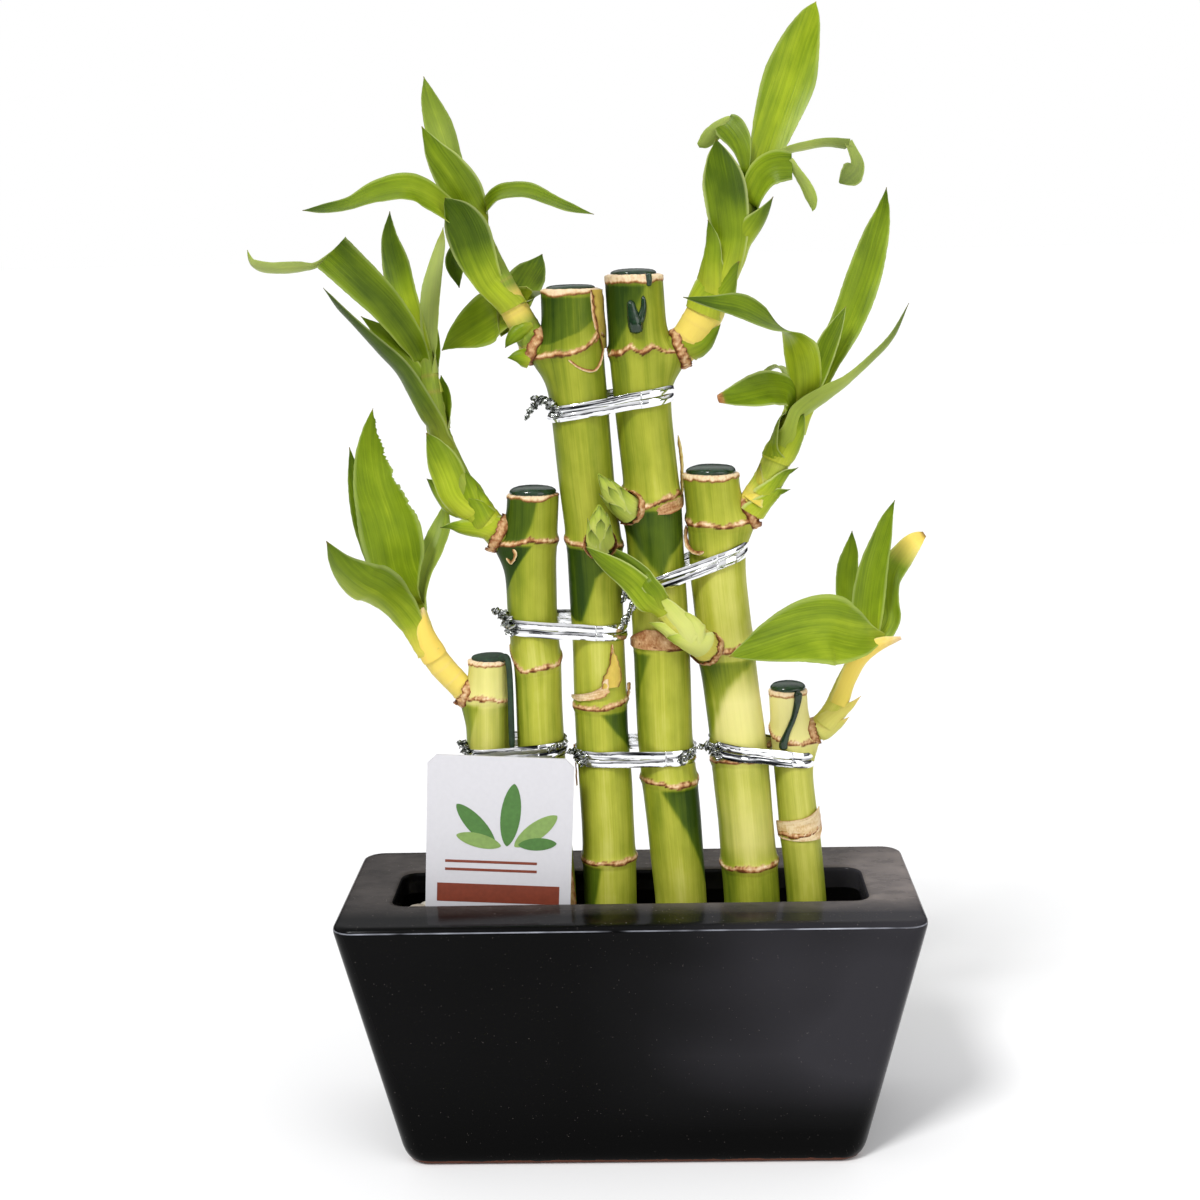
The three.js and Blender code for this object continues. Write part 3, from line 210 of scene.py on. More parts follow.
# Strips that hang loose from a cane as (cane, [(turn, z, lift)...], thickness, how brown)
CURLS = [
    ("cane_5", [(-88, 163.8, 0.5), (-80, 160.5, 0.9), (-62, 158.4, 1.1), (-40, 157.4, 1.2),
        (-24, 158, 1.6)], 0.5, 0.95),
    ("cane_3", [(-12, 207.8, 0.2), (10, 205.2, 0.2), (37, 204.2, 0.2), (58, 206.2, 0.2),
        (78, 210.5, 0.2)], 0.3, 1),
    ("cane_3", [(43, 224.3, 0.3), (45, 218, 0.3), (52, 213, 0.3), (40, 210.8, 0.2)], 0.4, 1),
    ("cane_3", [(20, 123.6, 0.1), (24, 127, 0.1), (29, 131, 0.2), (31, 134, 0.4)], 0.35, 1),
    ("cane_3", [(76, 119, 0.5), (80, 122.5, 0.7), (70, 121, 0.8)], 0.4, 0.9),
    ("cane_4", [(84, 171.5, 0.4), (88, 176, 0.8), (90, 181, 1.2), (91, 187, 1)], 0.4, 0.6),
    ("cane_2", [(-58, 157.4, 0.5), (-40, 155.6, 0.8), (-28, 157.8, 0.9), (-38, 159.6, 0.5)],
        0.35, 0.9),
]

# Stem of each shoot as (x, y, z, radius), and its leaves from the root to the tip as (x, y, z,
# half width, roll). At a roll of 0 a leaf shows its upper face to the front, at 180 its
# underside; a station without a roll keeps the one before it. A leaf that ends wide is folded
# there, and the part that is folded over is a leaf of its own.
SHOOTS = {
    "leafy_shoot_1": {
        "stem": [(-42, -0.3, 120.5, 3.2), (-44, -0.5, 123, 3.2), (-48.5, -1, 128.5, 3.3),
            (-52, -1.5, 135, 3.1), (-54, -1.5, 142.5, 2.6)],
        "front_blade": [(-54.1, -1.5, 143, 1.6, 5), (-55.7, -1.2, 147.3, 2.6),
            (-58.3, -0.8, 153.8, 6.6), (-59.5, 0, 160.6, 8), (-61.3, 2, 167.7, 7.7),
            (-63.8, 4, 174.9, 6), (-65, 5.9, 182.6, 4.3), (-65, 6.8, 189.3, 2.2),
            (-64.3, 7.3, 194.9, 0)],
        "hidden_blade": [(-54, 0.4, 141.5, 1, 0), (-61, 5.4, 150, 4), (-66.5, 8.1, 161.5, 3.6),
            (-69.5, 9.5, 173, 2.6), (-71.5, 10.8, 184.5, 0)],
        "left_blade": [(-52.8, -2.6, 131.5, 0.8, 170), (-54.6, -4, 137.3, 2.8, 167),
            (-57, -5.5, 142, 4.4, 162), (-59.7, -8, 146.1, 5.8, 158),
            (-62.6, -10.5, 149.3, 7.6, 152), (-66.7, -12.5, 152.3, 7.4, 150),
            (-71, -14.5, 157.3, 4.2), (-74.2, -15.5, 163.7, 0)],
        "right_blade": [(-53.8, -0.5, 146.3, 1, -20), (-51.9, 2, 152.1, 2.4, -25),
            (-49.2, 5, 158.4, 3.2), (-47.2, 7.5, 163.8, 2.8), (-46.5, 9.6, 169.8, 0.2)],
        "torn_sheath": [(-49.5, -2.5, 131, 2.4, -140), (-51.5, -3.5, 137.5, 2, -130),
            (-52, -3.5, 144, 0.4, -120)],
    },
    "leafy_shoot_2": {
        "stem": [(-32, -0.3, 162.5, 3.9), (-34.2, -0.5, 165, 3.7), (-39.6, -1, 172.5, 3.4),
            (-43.8, -1, 181.5, 3.1), (-46.6, -1, 190, 2.8), (-48.2, 0, 200.5, 2.5),
            (-49.5, 1, 209.5, 1.8)],
        "folded_blade": [(-48.9, -1, 200, 2, 10), (-50.4, -1, 208, 2.2), (-53, -5, 214.3, 3.4),
            (-57.7, -9, 221.8, 4.2), (-62.7, -12, 227.6, 4.7), (-66.7, -14, 231.9, 4.9),
            (-69.7, -14.5, 234.9, 5.1)],
        "upright_blade": [(-48.5, 0, 199.5, 2.4, -10), (-51, 4.1, 210, 3.4, -12),
            (-54.5, 8.1, 220, 4.2, -15), (-57, 12.2, 230, 4), (-59, 14.9, 238, 2.4),
            (-59, 16.2, 245, 0)],
        "left_blade": [(-44.5, -2.5, 185.5, 3, 150), (-49.5, -7.2, 196, 3.8, 140),
            (-54, -11.3, 205, 4.2, 130), (-59, -14, 211, 3.8, 125), (-64, -16.7, 217, 2.8, 120),
            (-68, -18, 222, 1.8), (-71.5, -18, 226.5, 0)],
        "middle_blade": [(-47, -0.5, 194.5, 2, 40), (-53.5, -2.5, 206, 3),
            (-58.5, -4.6, 213.5, 2.8), (-64.5, -5.2, 219, 0)],
        "pale_blade": [(-48, 1, 204.1, 2, -40), (-47.9, 3, 213.2, 2.8), (-47.5, 5, 221.7, 3.4),
            (-46.7, 7.8, 229, 3.2), (-45.5, 11, 235.7, 1.8), (-44.9, 13, 240.6, 0)],
        "short_blade": [(-48.5, 1.5, 202, 1.5, 0), (-47.5, 4.9, 209.5, 1.6), (-47, 7.6, 217, 0)],
        "dark_blade": [(-44.6, 0, 189.6, 1.4, -10), (-45.2, 0, 195.6, 2), (-45.4, 0, 200, 1.6),
            (-45.6, 0, 203.5, 0)],
        "front_bract": [(-40.5, -3, 165.5, 3, 178), (-42.3, -4, 171, 4),
            (-43.8, -4.5, 176.7, 4.4), (-45.5, -5, 181.7, 4), (-47.4, -5.5, 186.3, 2.2),
            (-49.2, -5.5, 189.4, 0)],
        "left_bract": [(-41.6, 0, 164.2, 2.4, 140), (-44.6, 0.5, 168.2, 2.2),
            (-47.3, 1, 172.4, 1.8), (-48.9, 1.5, 175.2, 1.3), (-50.4, 1.5, 176.9, 0)],
        "lower_bract": [(-36.5, -2, 161.9, 3, 150), (-40, -3, 163.5, 2.2),
            (-43.5, -3.5, 164.9, 1), (-46.8, -3.5, 164.8, 0)],
        "right_bract_1": [(-36.4, -1.5, 166.6, 2.6, -150), (-38.1, -2, 171.2, 2.8),
            (-39.6, -2, 175.7, 2), (-40.7, -2, 179.9, 0)],
        "right_bract_2": [(-34.9, -1.5, 165.1, 2, -150), (-36, -2, 170, 1.8),
            (-36.8, -2, 172.8, 1.1), (-37.5, -2, 175.4, 0)],
        "small_bract": [(-35.7, -3.5, 164.6, 3, 178), (-36.6, -4.6, 168.2, 2.6),
            (-37.9, -5, 170.8, 1.5), (-39, -5, 172.4, 0)],
        "folded_tip": [(-67.5, -13.7, 236.4, 0.6, 120), (-70.1, -13.8, 234.1, 0.9),
            (-73.8, -13.5, 231.7, 1.2, 125), (-77.4, -13, 231.3, 2, 128),
            (-80.5, -12.5, 231.1, 2.3), (-84.4, -12, 231.1, 2.2), (-87.8, -11.5, 231.5, 2.3),
            (-89.9, -11, 232.5, 2, 125), (-90.7, -11, 234.3, 1), (-91, -11, 236, 0)],
    },
    "leafy_shoot_3": {
        "stem": [(-21.5, -0.3, 210.5, 4), (-22, -0.5, 212, 3.8), (-26.3, -1, 220, 3.6),
            (-30.5, -1, 228.5, 3.3), (-33.5, -1, 236, 2.9), (-35.5, 0, 244, 2.2)],
        "front_blade": [(-28.9, -2.5, 220.3, 2.6, 178), (-30.8, -4, 224, 3.2),
            (-32.9, -5.5, 228.3, 4), (-35.1, -7, 233.7, 5.2), (-36.8, -8, 239.1, 5.5),
            (-38.8, -8.6, 243.2, 4.2), (-41, -8.6, 246.2, 1.6), (-41.9, -8.6, 247.5, 0)],
        "right_blade": [(-27.1, 0.5, 218.4, 4, -15), (-25.4, 5, 223.1, 4.8), (-23, 9, 227.2, 4.4),
            (-21.1, 12, 230.2, 2.6), (-19.6, 14, 233.2, 0)],
        "left_blade": [(-29.2, 0.5, 219.6, 4.4, 20), (-32.4, 5, 217.7, 6.6),
            (-37.5, 9, 214.9, 5.4, 15), (-42.6, 12, 212.1, 2.8, 12), (-46.6, 14, 209, 0, 10)],
        "drooping_blade": [(-33.5, 0.5, 234, 2, 90), (-38.5, 7.9, 236, 2.6, 60),
            (-42, 13.3, 231.5, 3, 20), (-41.5, 14.7, 225, 0, 10)],
        "arching_left": [(-35.5, -0.5, 237.5, 2.4, 60), (-42.5, -5.2, 244.6, 4.4, 56),
            (-48, -9.3, 248.6, 4.8, 50), (-52.5, -13.3, 249.5, 4.7, 46), (-58, -16, 248.3, 4.2),
            (-64, -18.7, 246, 2.8, 50), (-70, -20.1, 245, 2, 56), (-75, -21.4, 245, 0, 58)],
        "upper_blade": [(-35, 0, 241.5, 3.2, 175), (-38, -2, 248.5, 5), (-41.5, -3.4, 254.5, 4.4),
            (-44.5, -4.1, 259, 2.8), (-47.5, -4.1, 265, 0)],
        "top_blade": [(-36, 1, 243.5, 2.4, 0), (-40.9, 3.7, 255, 3.1), (-44, 6.4, 264.5, 3.6),
            (-46.5, 7.8, 272, 2.2), (-48, 9.1, 278, 0)],
        "arching_right": [(-33.6, 0.5, 243.6, 0.7, -50), (-31.4, -2.6, 246, 2.6),
            (-27.5, -7.9, 248, 3.4, -54), (-21.5, -12, 248, 3.2, -56),
            (-16, -14.7, 246, 2.5, -58), (-11, -17.4, 244, 1.8), (-5, -18.7, 242.5, 0)],
        "lower_bract_1": [(-21.8, -3.4, 215.7, 1, 178), (-23.8, -4.6, 214.9, 1.9),
            (-25.8, -5, 213.5, 1.9), (-27.4, -5, 211.9, 1.1), (-28.5, -4.9, 210.3, 0)],
        "lower_bract_2": [(-22.3, -4.4, 207.2, 2.5, 178), (-24.2, -4.8, 207.8, 2.3),
            (-26, -4.8, 208, 1.3), (-28, -4.6, 207.8, 0)],
    },
    "leafy_shoot_4": {
        "stem": [(15.5, -0.3, 209, 4.4), (18, -0.5, 211.5, 4.7), (22, -1, 218, 4.7),
            (25, -1, 225.5, 4.2), (28, -1, 233, 4), (31, -0.5, 241, 3.3), (33.5, 1, 249, 2.3)],
        "top_blade": [(33, 1, 245.5, 2.6, 0), (37.5, 5.1, 257, 4.2), (40.5, 7.8, 265.5, 5.7),
            (44, 10.5, 275, 6.7), (47, 11.8, 284, 5), (49.5, 11.8, 290.5, 2.6),
            (51, 11.8, 294, 0)],
        "folded_left": [(32.4, 0.3, 244, 1, 10), (32.4, 0.5, 250.6, 0.8), (32, 1.5, 255.9, 1.9),
            (30.9, 3, 259.7, 3.2, 12), (28.8, 4.6, 263, 3.9, 14), (27.2, 5.6, 264.5, 3, 16)],
        "front_blade": [(25.5, -2.5, 227, 4.4, 178), (28, -5.2, 236, 4.6), (27.5, -7.2, 244, 5.3),
            (26.5, -7.9, 250.5, 5.1), (25.5, -7.9, 256, 2.9), (25, -7.9, 260, 0)],
        "folded_right": [(31.7, -2, 241, 3, -10), (33.7, -3.5, 246.6, 3),
            (36.4, -4.5, 251.2, 3.8, -12), (39.6, -5, 253, 4.2, -15),
            (43.6, -5, 253.1, 3.5, -18)],
        "pale_blade": [(34, 1, 249, 3.2, -110), (38, 1, 253.1, 2.6), (42.6, 3, 256.6, 2.1, -115),
            (48.2, 6, 258.1, 1.9, -120), (53.8, 9, 259, 1.8, -122), (58.9, 11, 258.6, 1.8, -130)],
        "right_bract": [(27, -1.5, 225.5, 3.6, -110), (32, -3, 234, 3.6), (36, -4, 240, 3),
            (39, -4.5, 246, 0)],
        "left_bract": [(21.5, -5, 224.6, 3.2, 165), (23.1, -6.4, 229.9, 2.6, 162),
            (23.6, -7.4, 234.2, 2, 160), (23.3, -8, 237.7, 1.2, 158),
            (22.7, -8.2, 240.7, 0, 155)],
        "lower_bract": [(21.5, -2.5, 219.3, 3.6, 178), (24.2, -4, 223.2, 4.2),
            (27, -4.5, 226.7, 3), (30.5, -4.5, 230.4, 0)],
        "base_bract": [(18.9, -1.5, 208.1, 3, -150), (21.4, -2.5, 210.4, 2.8),
            (23.6, -3, 213, 1.4), (25.3, -3, 215.2, 0)],
        "folded_left_tip": [(29, 5.4, 265.8, 0.6, 160), (27, 5.2, 264.2, 1.5, 165),
            (24.7, 5.4, 262, 2.1, 170), (22.6, 5.8, 260.1, 1.8), (20.9, 6.2, 259.2, 0.6)],
        "folded_right_tip": [(43.1, -4.8, 254.8, 0.8, -150), (44.7, -4.6, 251.9, 1.2),
            (46.7, -4.2, 248.9, 1.5), (48.2, -3.8, 245.8, 1.6), (48.9, -3.4, 243.4, 0.9),
            (48.8, -3.2, 242.2, 0)],
        "pale_tip": [(58.8, 11.3, 259.4, 1.4, -40), (60.2, 11.2, 256.7, 1.5, -30),
            (61.1, 11, 253.8, 2, -20), (59.8, 10.5, 251.7, 3.2, -10), (58.3, 10, 250.5, 2.4),
            (56.6, 9.5, 249.3, 0.3)],
    },
    "leafy_shoot_5": {
        "stem": [(32.5, -0.3, 167, 3.8), (34, -0.5, 169.5, 4), (37.5, -1, 175.5, 3.7),
            (40.5, -1, 182.5, 3.6), (43.5, -1, 188.5, 3.7), (46, 0, 196, 2.5)],
        "long_blade": [(46.5, 0.5, 190.5, 2.6, 0), (52, 3.9, 203.5, 3.4), (58, 6.6, 214, 4.2),
            (62.5, 9.3, 225, 4.5), (66, 12, 235.5, 3.4), (68, 13.3, 242, 1.8),
            (69, 13.3, 248, 0)],
        "short_blade": [(45.5, 0, 192.5, 2.2, -10), (49.5, 0, 201, 2.8), (53, 0.7, 209.5, 2.6),
            (55.5, 1.4, 214.5, 1.5), (57.5, 2, 218.5, 0)],
        "folded_blade": [(44.5, -2, 189.5, 3.4, 178), (46.5, -5.4, 198.5, 4, 175),
            (45.5, -10.1, 206.5, 4.4, 165), (42.5, -16.9, 212.5, 4.2, 110),
            (36.5, -22.2, 216, 4, 60), (30, -25, 219.5, 3.9, 45), (23, -26.3, 221, 2.2),
            (16, -26.3, 222.5, 0)],
        "thin_blade": [(41.5, -2.5, 185, 3.6, -150), (46, -5.2, 192.5, 3.8, -140),
            (51.5, -7.9, 197, 3, -135), (56.5, -9.9, 200.5, 2.4, -130), (62, -11.3, 205.5, 1.7),
            (67.5, -12.6, 211.5, 1.3), (71.5, -12.6, 219.5, 0)],
        "left_blade": [(40.6, -2, 181, 3.2, 120), (42.1, -3.4, 187, 3.2, 90),
            (42.9, -4.5, 193, 3.2, 60), (42.1, -7, 197.7, 4, 40), (37.8, -11, 199, 4.8, 30),
            (33.3, -14, 198.5, 4.4, 28), (28.7, -16.5, 197.9, 2.9), (24.3, -18, 197.4, 1)],
        "hidden_blade": [(45, 1, 192, 2, 30), (43.5, 5.1, 199.5, 2.4, 50), (41, 9.1, 203, 2, 90),
            (37.5, 11.8, 202, 0.4, 150)],
        "front_bract": [(39.9, -4.2, 180.4, 4, 178), (41.9, -4.8, 184.5, 3.7),
            (44, -5.2, 188.1, 2.8), (45.5, -5.4, 190.8, 1.2), (46.3, -5.5, 192.3, 0)],
        "left_bract": [(38.5, -1.5, 172.5, 3, 110), (37, -2, 176.5, 2), (36.5, -2, 180, 0)],
        "right_bract_1": [(37.5, -1.5, 173.5, 3.6, -120), (41, -3, 176, 2.2),
            (45, -3.5, 178.5, 0)],
        "right_bract_2": [(35.5, -1.5, 170, 3.6, -120), (39.5, -3, 171.5, 2), (43, -3.5, 173, 0)],
    },
    "leafy_shoot_6": {
        "stem": [(48.8, -0.3, 108.6, 2.7), (51, -0.5, 110, 3.1), (54, -1, 114.5, 2.7),
            (57, -1, 121.5, 2.4), (60, -1, 127.5, 2.2), (63, 0, 132.5, 1.6)],
        "glossy_blade": [(67.3, -1.5, 134, 0.6, 20), (64, -4, 134.3, 2.8), (60.6, -7, 135, 5.2),
            (56.5, -10, 136.4, 7.4), (52.4, -12.5, 137.9, 9), (47.7, -14.5, 138.1, 8.7, 21),
            (42.7, -16.5, 137.5, 7.5, 22), (36.1, -19.5, 136.1, 5.2, 24),
            (31.5, -22, 135.2, 3, 25), (26, -25, 134.3, 0)],
        "left_blade": [(61.5, 1, 128.5, 2, 0), (58.5, 5.1, 140.5, 2.8), (58.5, 7.8, 149.5, 2.9),
            (59.5, 9.1, 155, 1.9), (60, 9.8, 160, 0)],
        "middle_blade": [(62.5, 0.5, 128.5, 2.4, 0), (63, 1.2, 140.5, 4.2),
            (64.5, 2.5, 150.5, 3.9), (67, 3.9, 159, 2.6), (68.5, 4.6, 164, 1.5),
            (70.5, 5.2, 168.5, 0)],
        "yellow_tip_blade": [(65, 0.5, 129, 2, -15), (69, 3, 137.1, 2.8), (69.2, 5, 141.6, 2.6),
            (69.6, 7, 146.1, 2.6), (70.9, 9, 150.1, 3.4), (74.1, 11, 154, 3),
            (76.8, 12, 156.8, 2.2), (79.3, 13, 158.2, 0.8)],
        "yellow_sheath": [(55.9, -2.5, 116.3, 2.4, -120), (58.6, -3.2, 122.4, 2.9),
            (61.6, -3.6, 128, 2.8, -125), (66, -4, 131.9, 2, -140), (71.2, -4, 133.9, 0.5, -150)],
        "bract_1": [(53, -1.5, 111, 2.8, -130), (57.5, -2.5, 114.5, 1.6), (61, -3, 118.5, 0)],
        "bract_2": [(51, -1.5, 107, 2.8, -130), (55, -2.5, 110, 1.6), (58, -3, 113, 0)],
    },
    "young_shoot": {
        "stem": [(21.3, -6.3, 132.6, 3.6), (20.5, -7.8, 133.5, 3.8), (17, -10.5, 136.7, 3.7),
            (12.5, -12.5, 141.5, 2.9), (8.6, -14.5, 147, 2.2), (6, -16, 151, 1.6)],
        "long_blade": [(9.1, -14.5, 142.9, 3.4, 175), (5.8, -16, 148.3, 3.6),
            (1.8, -17.5, 152.9, 3.2, 172), (-2.5, -18.5, 156.3, 2.6, 170),
            (-6.1, -19, 159.2, 1.4), (-8.9, -19.5, 161.6, 0)],
        "upper_blade": [(10.8, -13.5, 146.5, 2, 175), (7.5, -15, 150.9, 2.2),
            (4.3, -16, 154.7, 1.8), (1, -16.5, 157.7, 1.4), (-1.9, -17, 159.8, 0.9)],
        "front_bract": [(17.2, -13.5, 137.4, 3.2, 178), (13.2, -15.4, 142.1, 2.8),
            (10.9, -16.4, 145.3, 2), (9, -17, 147.8, 0.9), (7.8, -17.2, 149.3, 0)],
        "side_bract": [(20.2, -12.3, 137, 2.4, -160), (17.4, -14, 140.5, 2.2),
            (15.3, -14.6, 142.8, 1.2), (13.9, -15, 144.1, 0)],
        "torn_bract": [(14.9, -12, 135.6, 2.6, 155), (11.5, -14, 138.3, 2),
            (8.8, -15, 140.2, 1.2), (6.3, -15.5, 141.4, 0)],
        "low_bract": [(19.9, -11, 133.4, 3.4, 160), (16.5, -13.5, 135.3, 3),
            (13.4, -14.6, 136.6, 1.8), (11, -15, 137.4, 0.3)],
    },
}

# Axis of each bud as (x, y, z, radius), the turns of its scales from the lowest one up, and the
# outline of a scale as (share of its length, share of the bud's radius)
BUDS = {
    "bud_1": [(-5.6, -7.7, 160.6, 3.5), (-5.7, -9.4, 163.2, 3), (-5.7, -10.6, 166, 2.5),
        (-5.6, -11.4, 168.6, 1.8), (-5.6, -12, 171, 0.4)],
    "bud_2": [(2.2, -6, 168.7, 3.2), (-0.1, -7.8, 170.8, 3), (-2.3, -9.5, 173.6, 2.4),
        (-4.1, -11, 176.4, 1.5), (-5.6, -12, 178.8, 0.3)],
}
SCALE_TURNS = (125, 30, 170, 80, 5, 125, 65, 95)
SCALE_OUTLINE = ((0, 0.95), (0.3, 0.92), (0.55, 0.7), (0.8, 0.38), (1, 0))
BUD_TONE = 0.62
BUD_YELLOW = [(0, 0.15), (1, 0)]
BUD_STEPS = 80

# How a leaf looks unless its shoot says otherwise: its reach on the stem, how far it goes round
# it, its section as (share of length, cup, fold), how wavy it is, its tones as (share, tone) or
# (share, left, middle, right), its marks as (share, dry, yellow, pale), how pale its margins
# are, its torn margins as (side, start, end, depth), how long it keeps clear of the stem, how
# much broader its middle is, and how far it turns to show its underside in full
LEAF = {
    "wrap": 8, "grip": 1.9, "section": [(0, 0.5, 0.1), (1, 0.35, 0.1)], "wave": 0.5,
    "tones": [(0, 0.55, 0.6, 0.55), (0.4, 0.42, 0.45, 0.42), (0.85, 0.35, 0.38, 0.35),
        (1, 0.15)],
    "marks": [(0, 0, 0.1, 0), (0.2, 0, 0, 0), (0.97, 0, 0, 0), (1, 0.5, 0, 0)],
    "margin": 0.25, "teeth": [], "cover": 16, "broad": 0, "open": 0,
}
BRACT = {
    "wrap": 7, "grip": 1.7, "section": [(0, 1.2, 0), (0.6, 0.9, 0.1), (1, 0.5, 0.2)],
    "wave": 0.2,
    "tones": [(0, 0.6, 0.72, 0.6), (0.5, 0.45, 0.55, 0.45), (1, 0.12, 0.15, 0.12)],
    "marks": [(0, 0, 0.15, 0), (0.3, 0, 0, 0), (0.95, 0, 0, 0), (1, 0.6, 0, 0)],
    "margin": 0.4, "teeth": [], "cover": 12, "broad": 0.3, "open": 0.25,
}
TIP = {**LEAF, "wrap": 0, "cover": 0.1, "section": [(0, 0.6, 0), (1, 0.3, 0)], "wave": 0.2,
    "marks": [(0, 0, 0, 0.35), (1, 0, 0, 0.2)], "tones": [(0, 0.45), (1, 0.4)],
    "margin": 0.4}
SCALE = {**BRACT, "wrap": 0, "broad": 0, "open": 0, "wave": 0.05, "margin": 0.6,
    "section": [(0, 1.25, 0), (0.3, 1.15, 0), (0.55, 0.8, 0), (0.8, 0.4, 0), (1, 0.1, 0)],
    "tones": [(0, 0.65, 0.78, 0.65), (0.5, 0.5, 0.65, 0.5), (0.8, 0.3, 0.35, 0.3),
        (1, 0.05, 0.08, 0.05)],
    "marks": [(0, 0, 0.05, 0.35), (0.5, 0, 0, 0.2), (1, 0.1, 0, 0)]}
LEAF_KINDS = {"bract": BRACT, "sheath": BRACT, "tip": TIP}
NO_MARKS = [(0, 0, 0, 0), (1, 0, 0, 0)]
PALE_BRACT = {
    "wrap": 4, "broad": 0, "open": 0, "margin": 0.8, "tones": [(0, 0.95), (0.6, 0.8), (1, 0.4)],
    "marks": [(0, 0, 0.15, 0.6), (0.7, 0, 0, 0.25), (1, 0.1, 0, 0)],
}

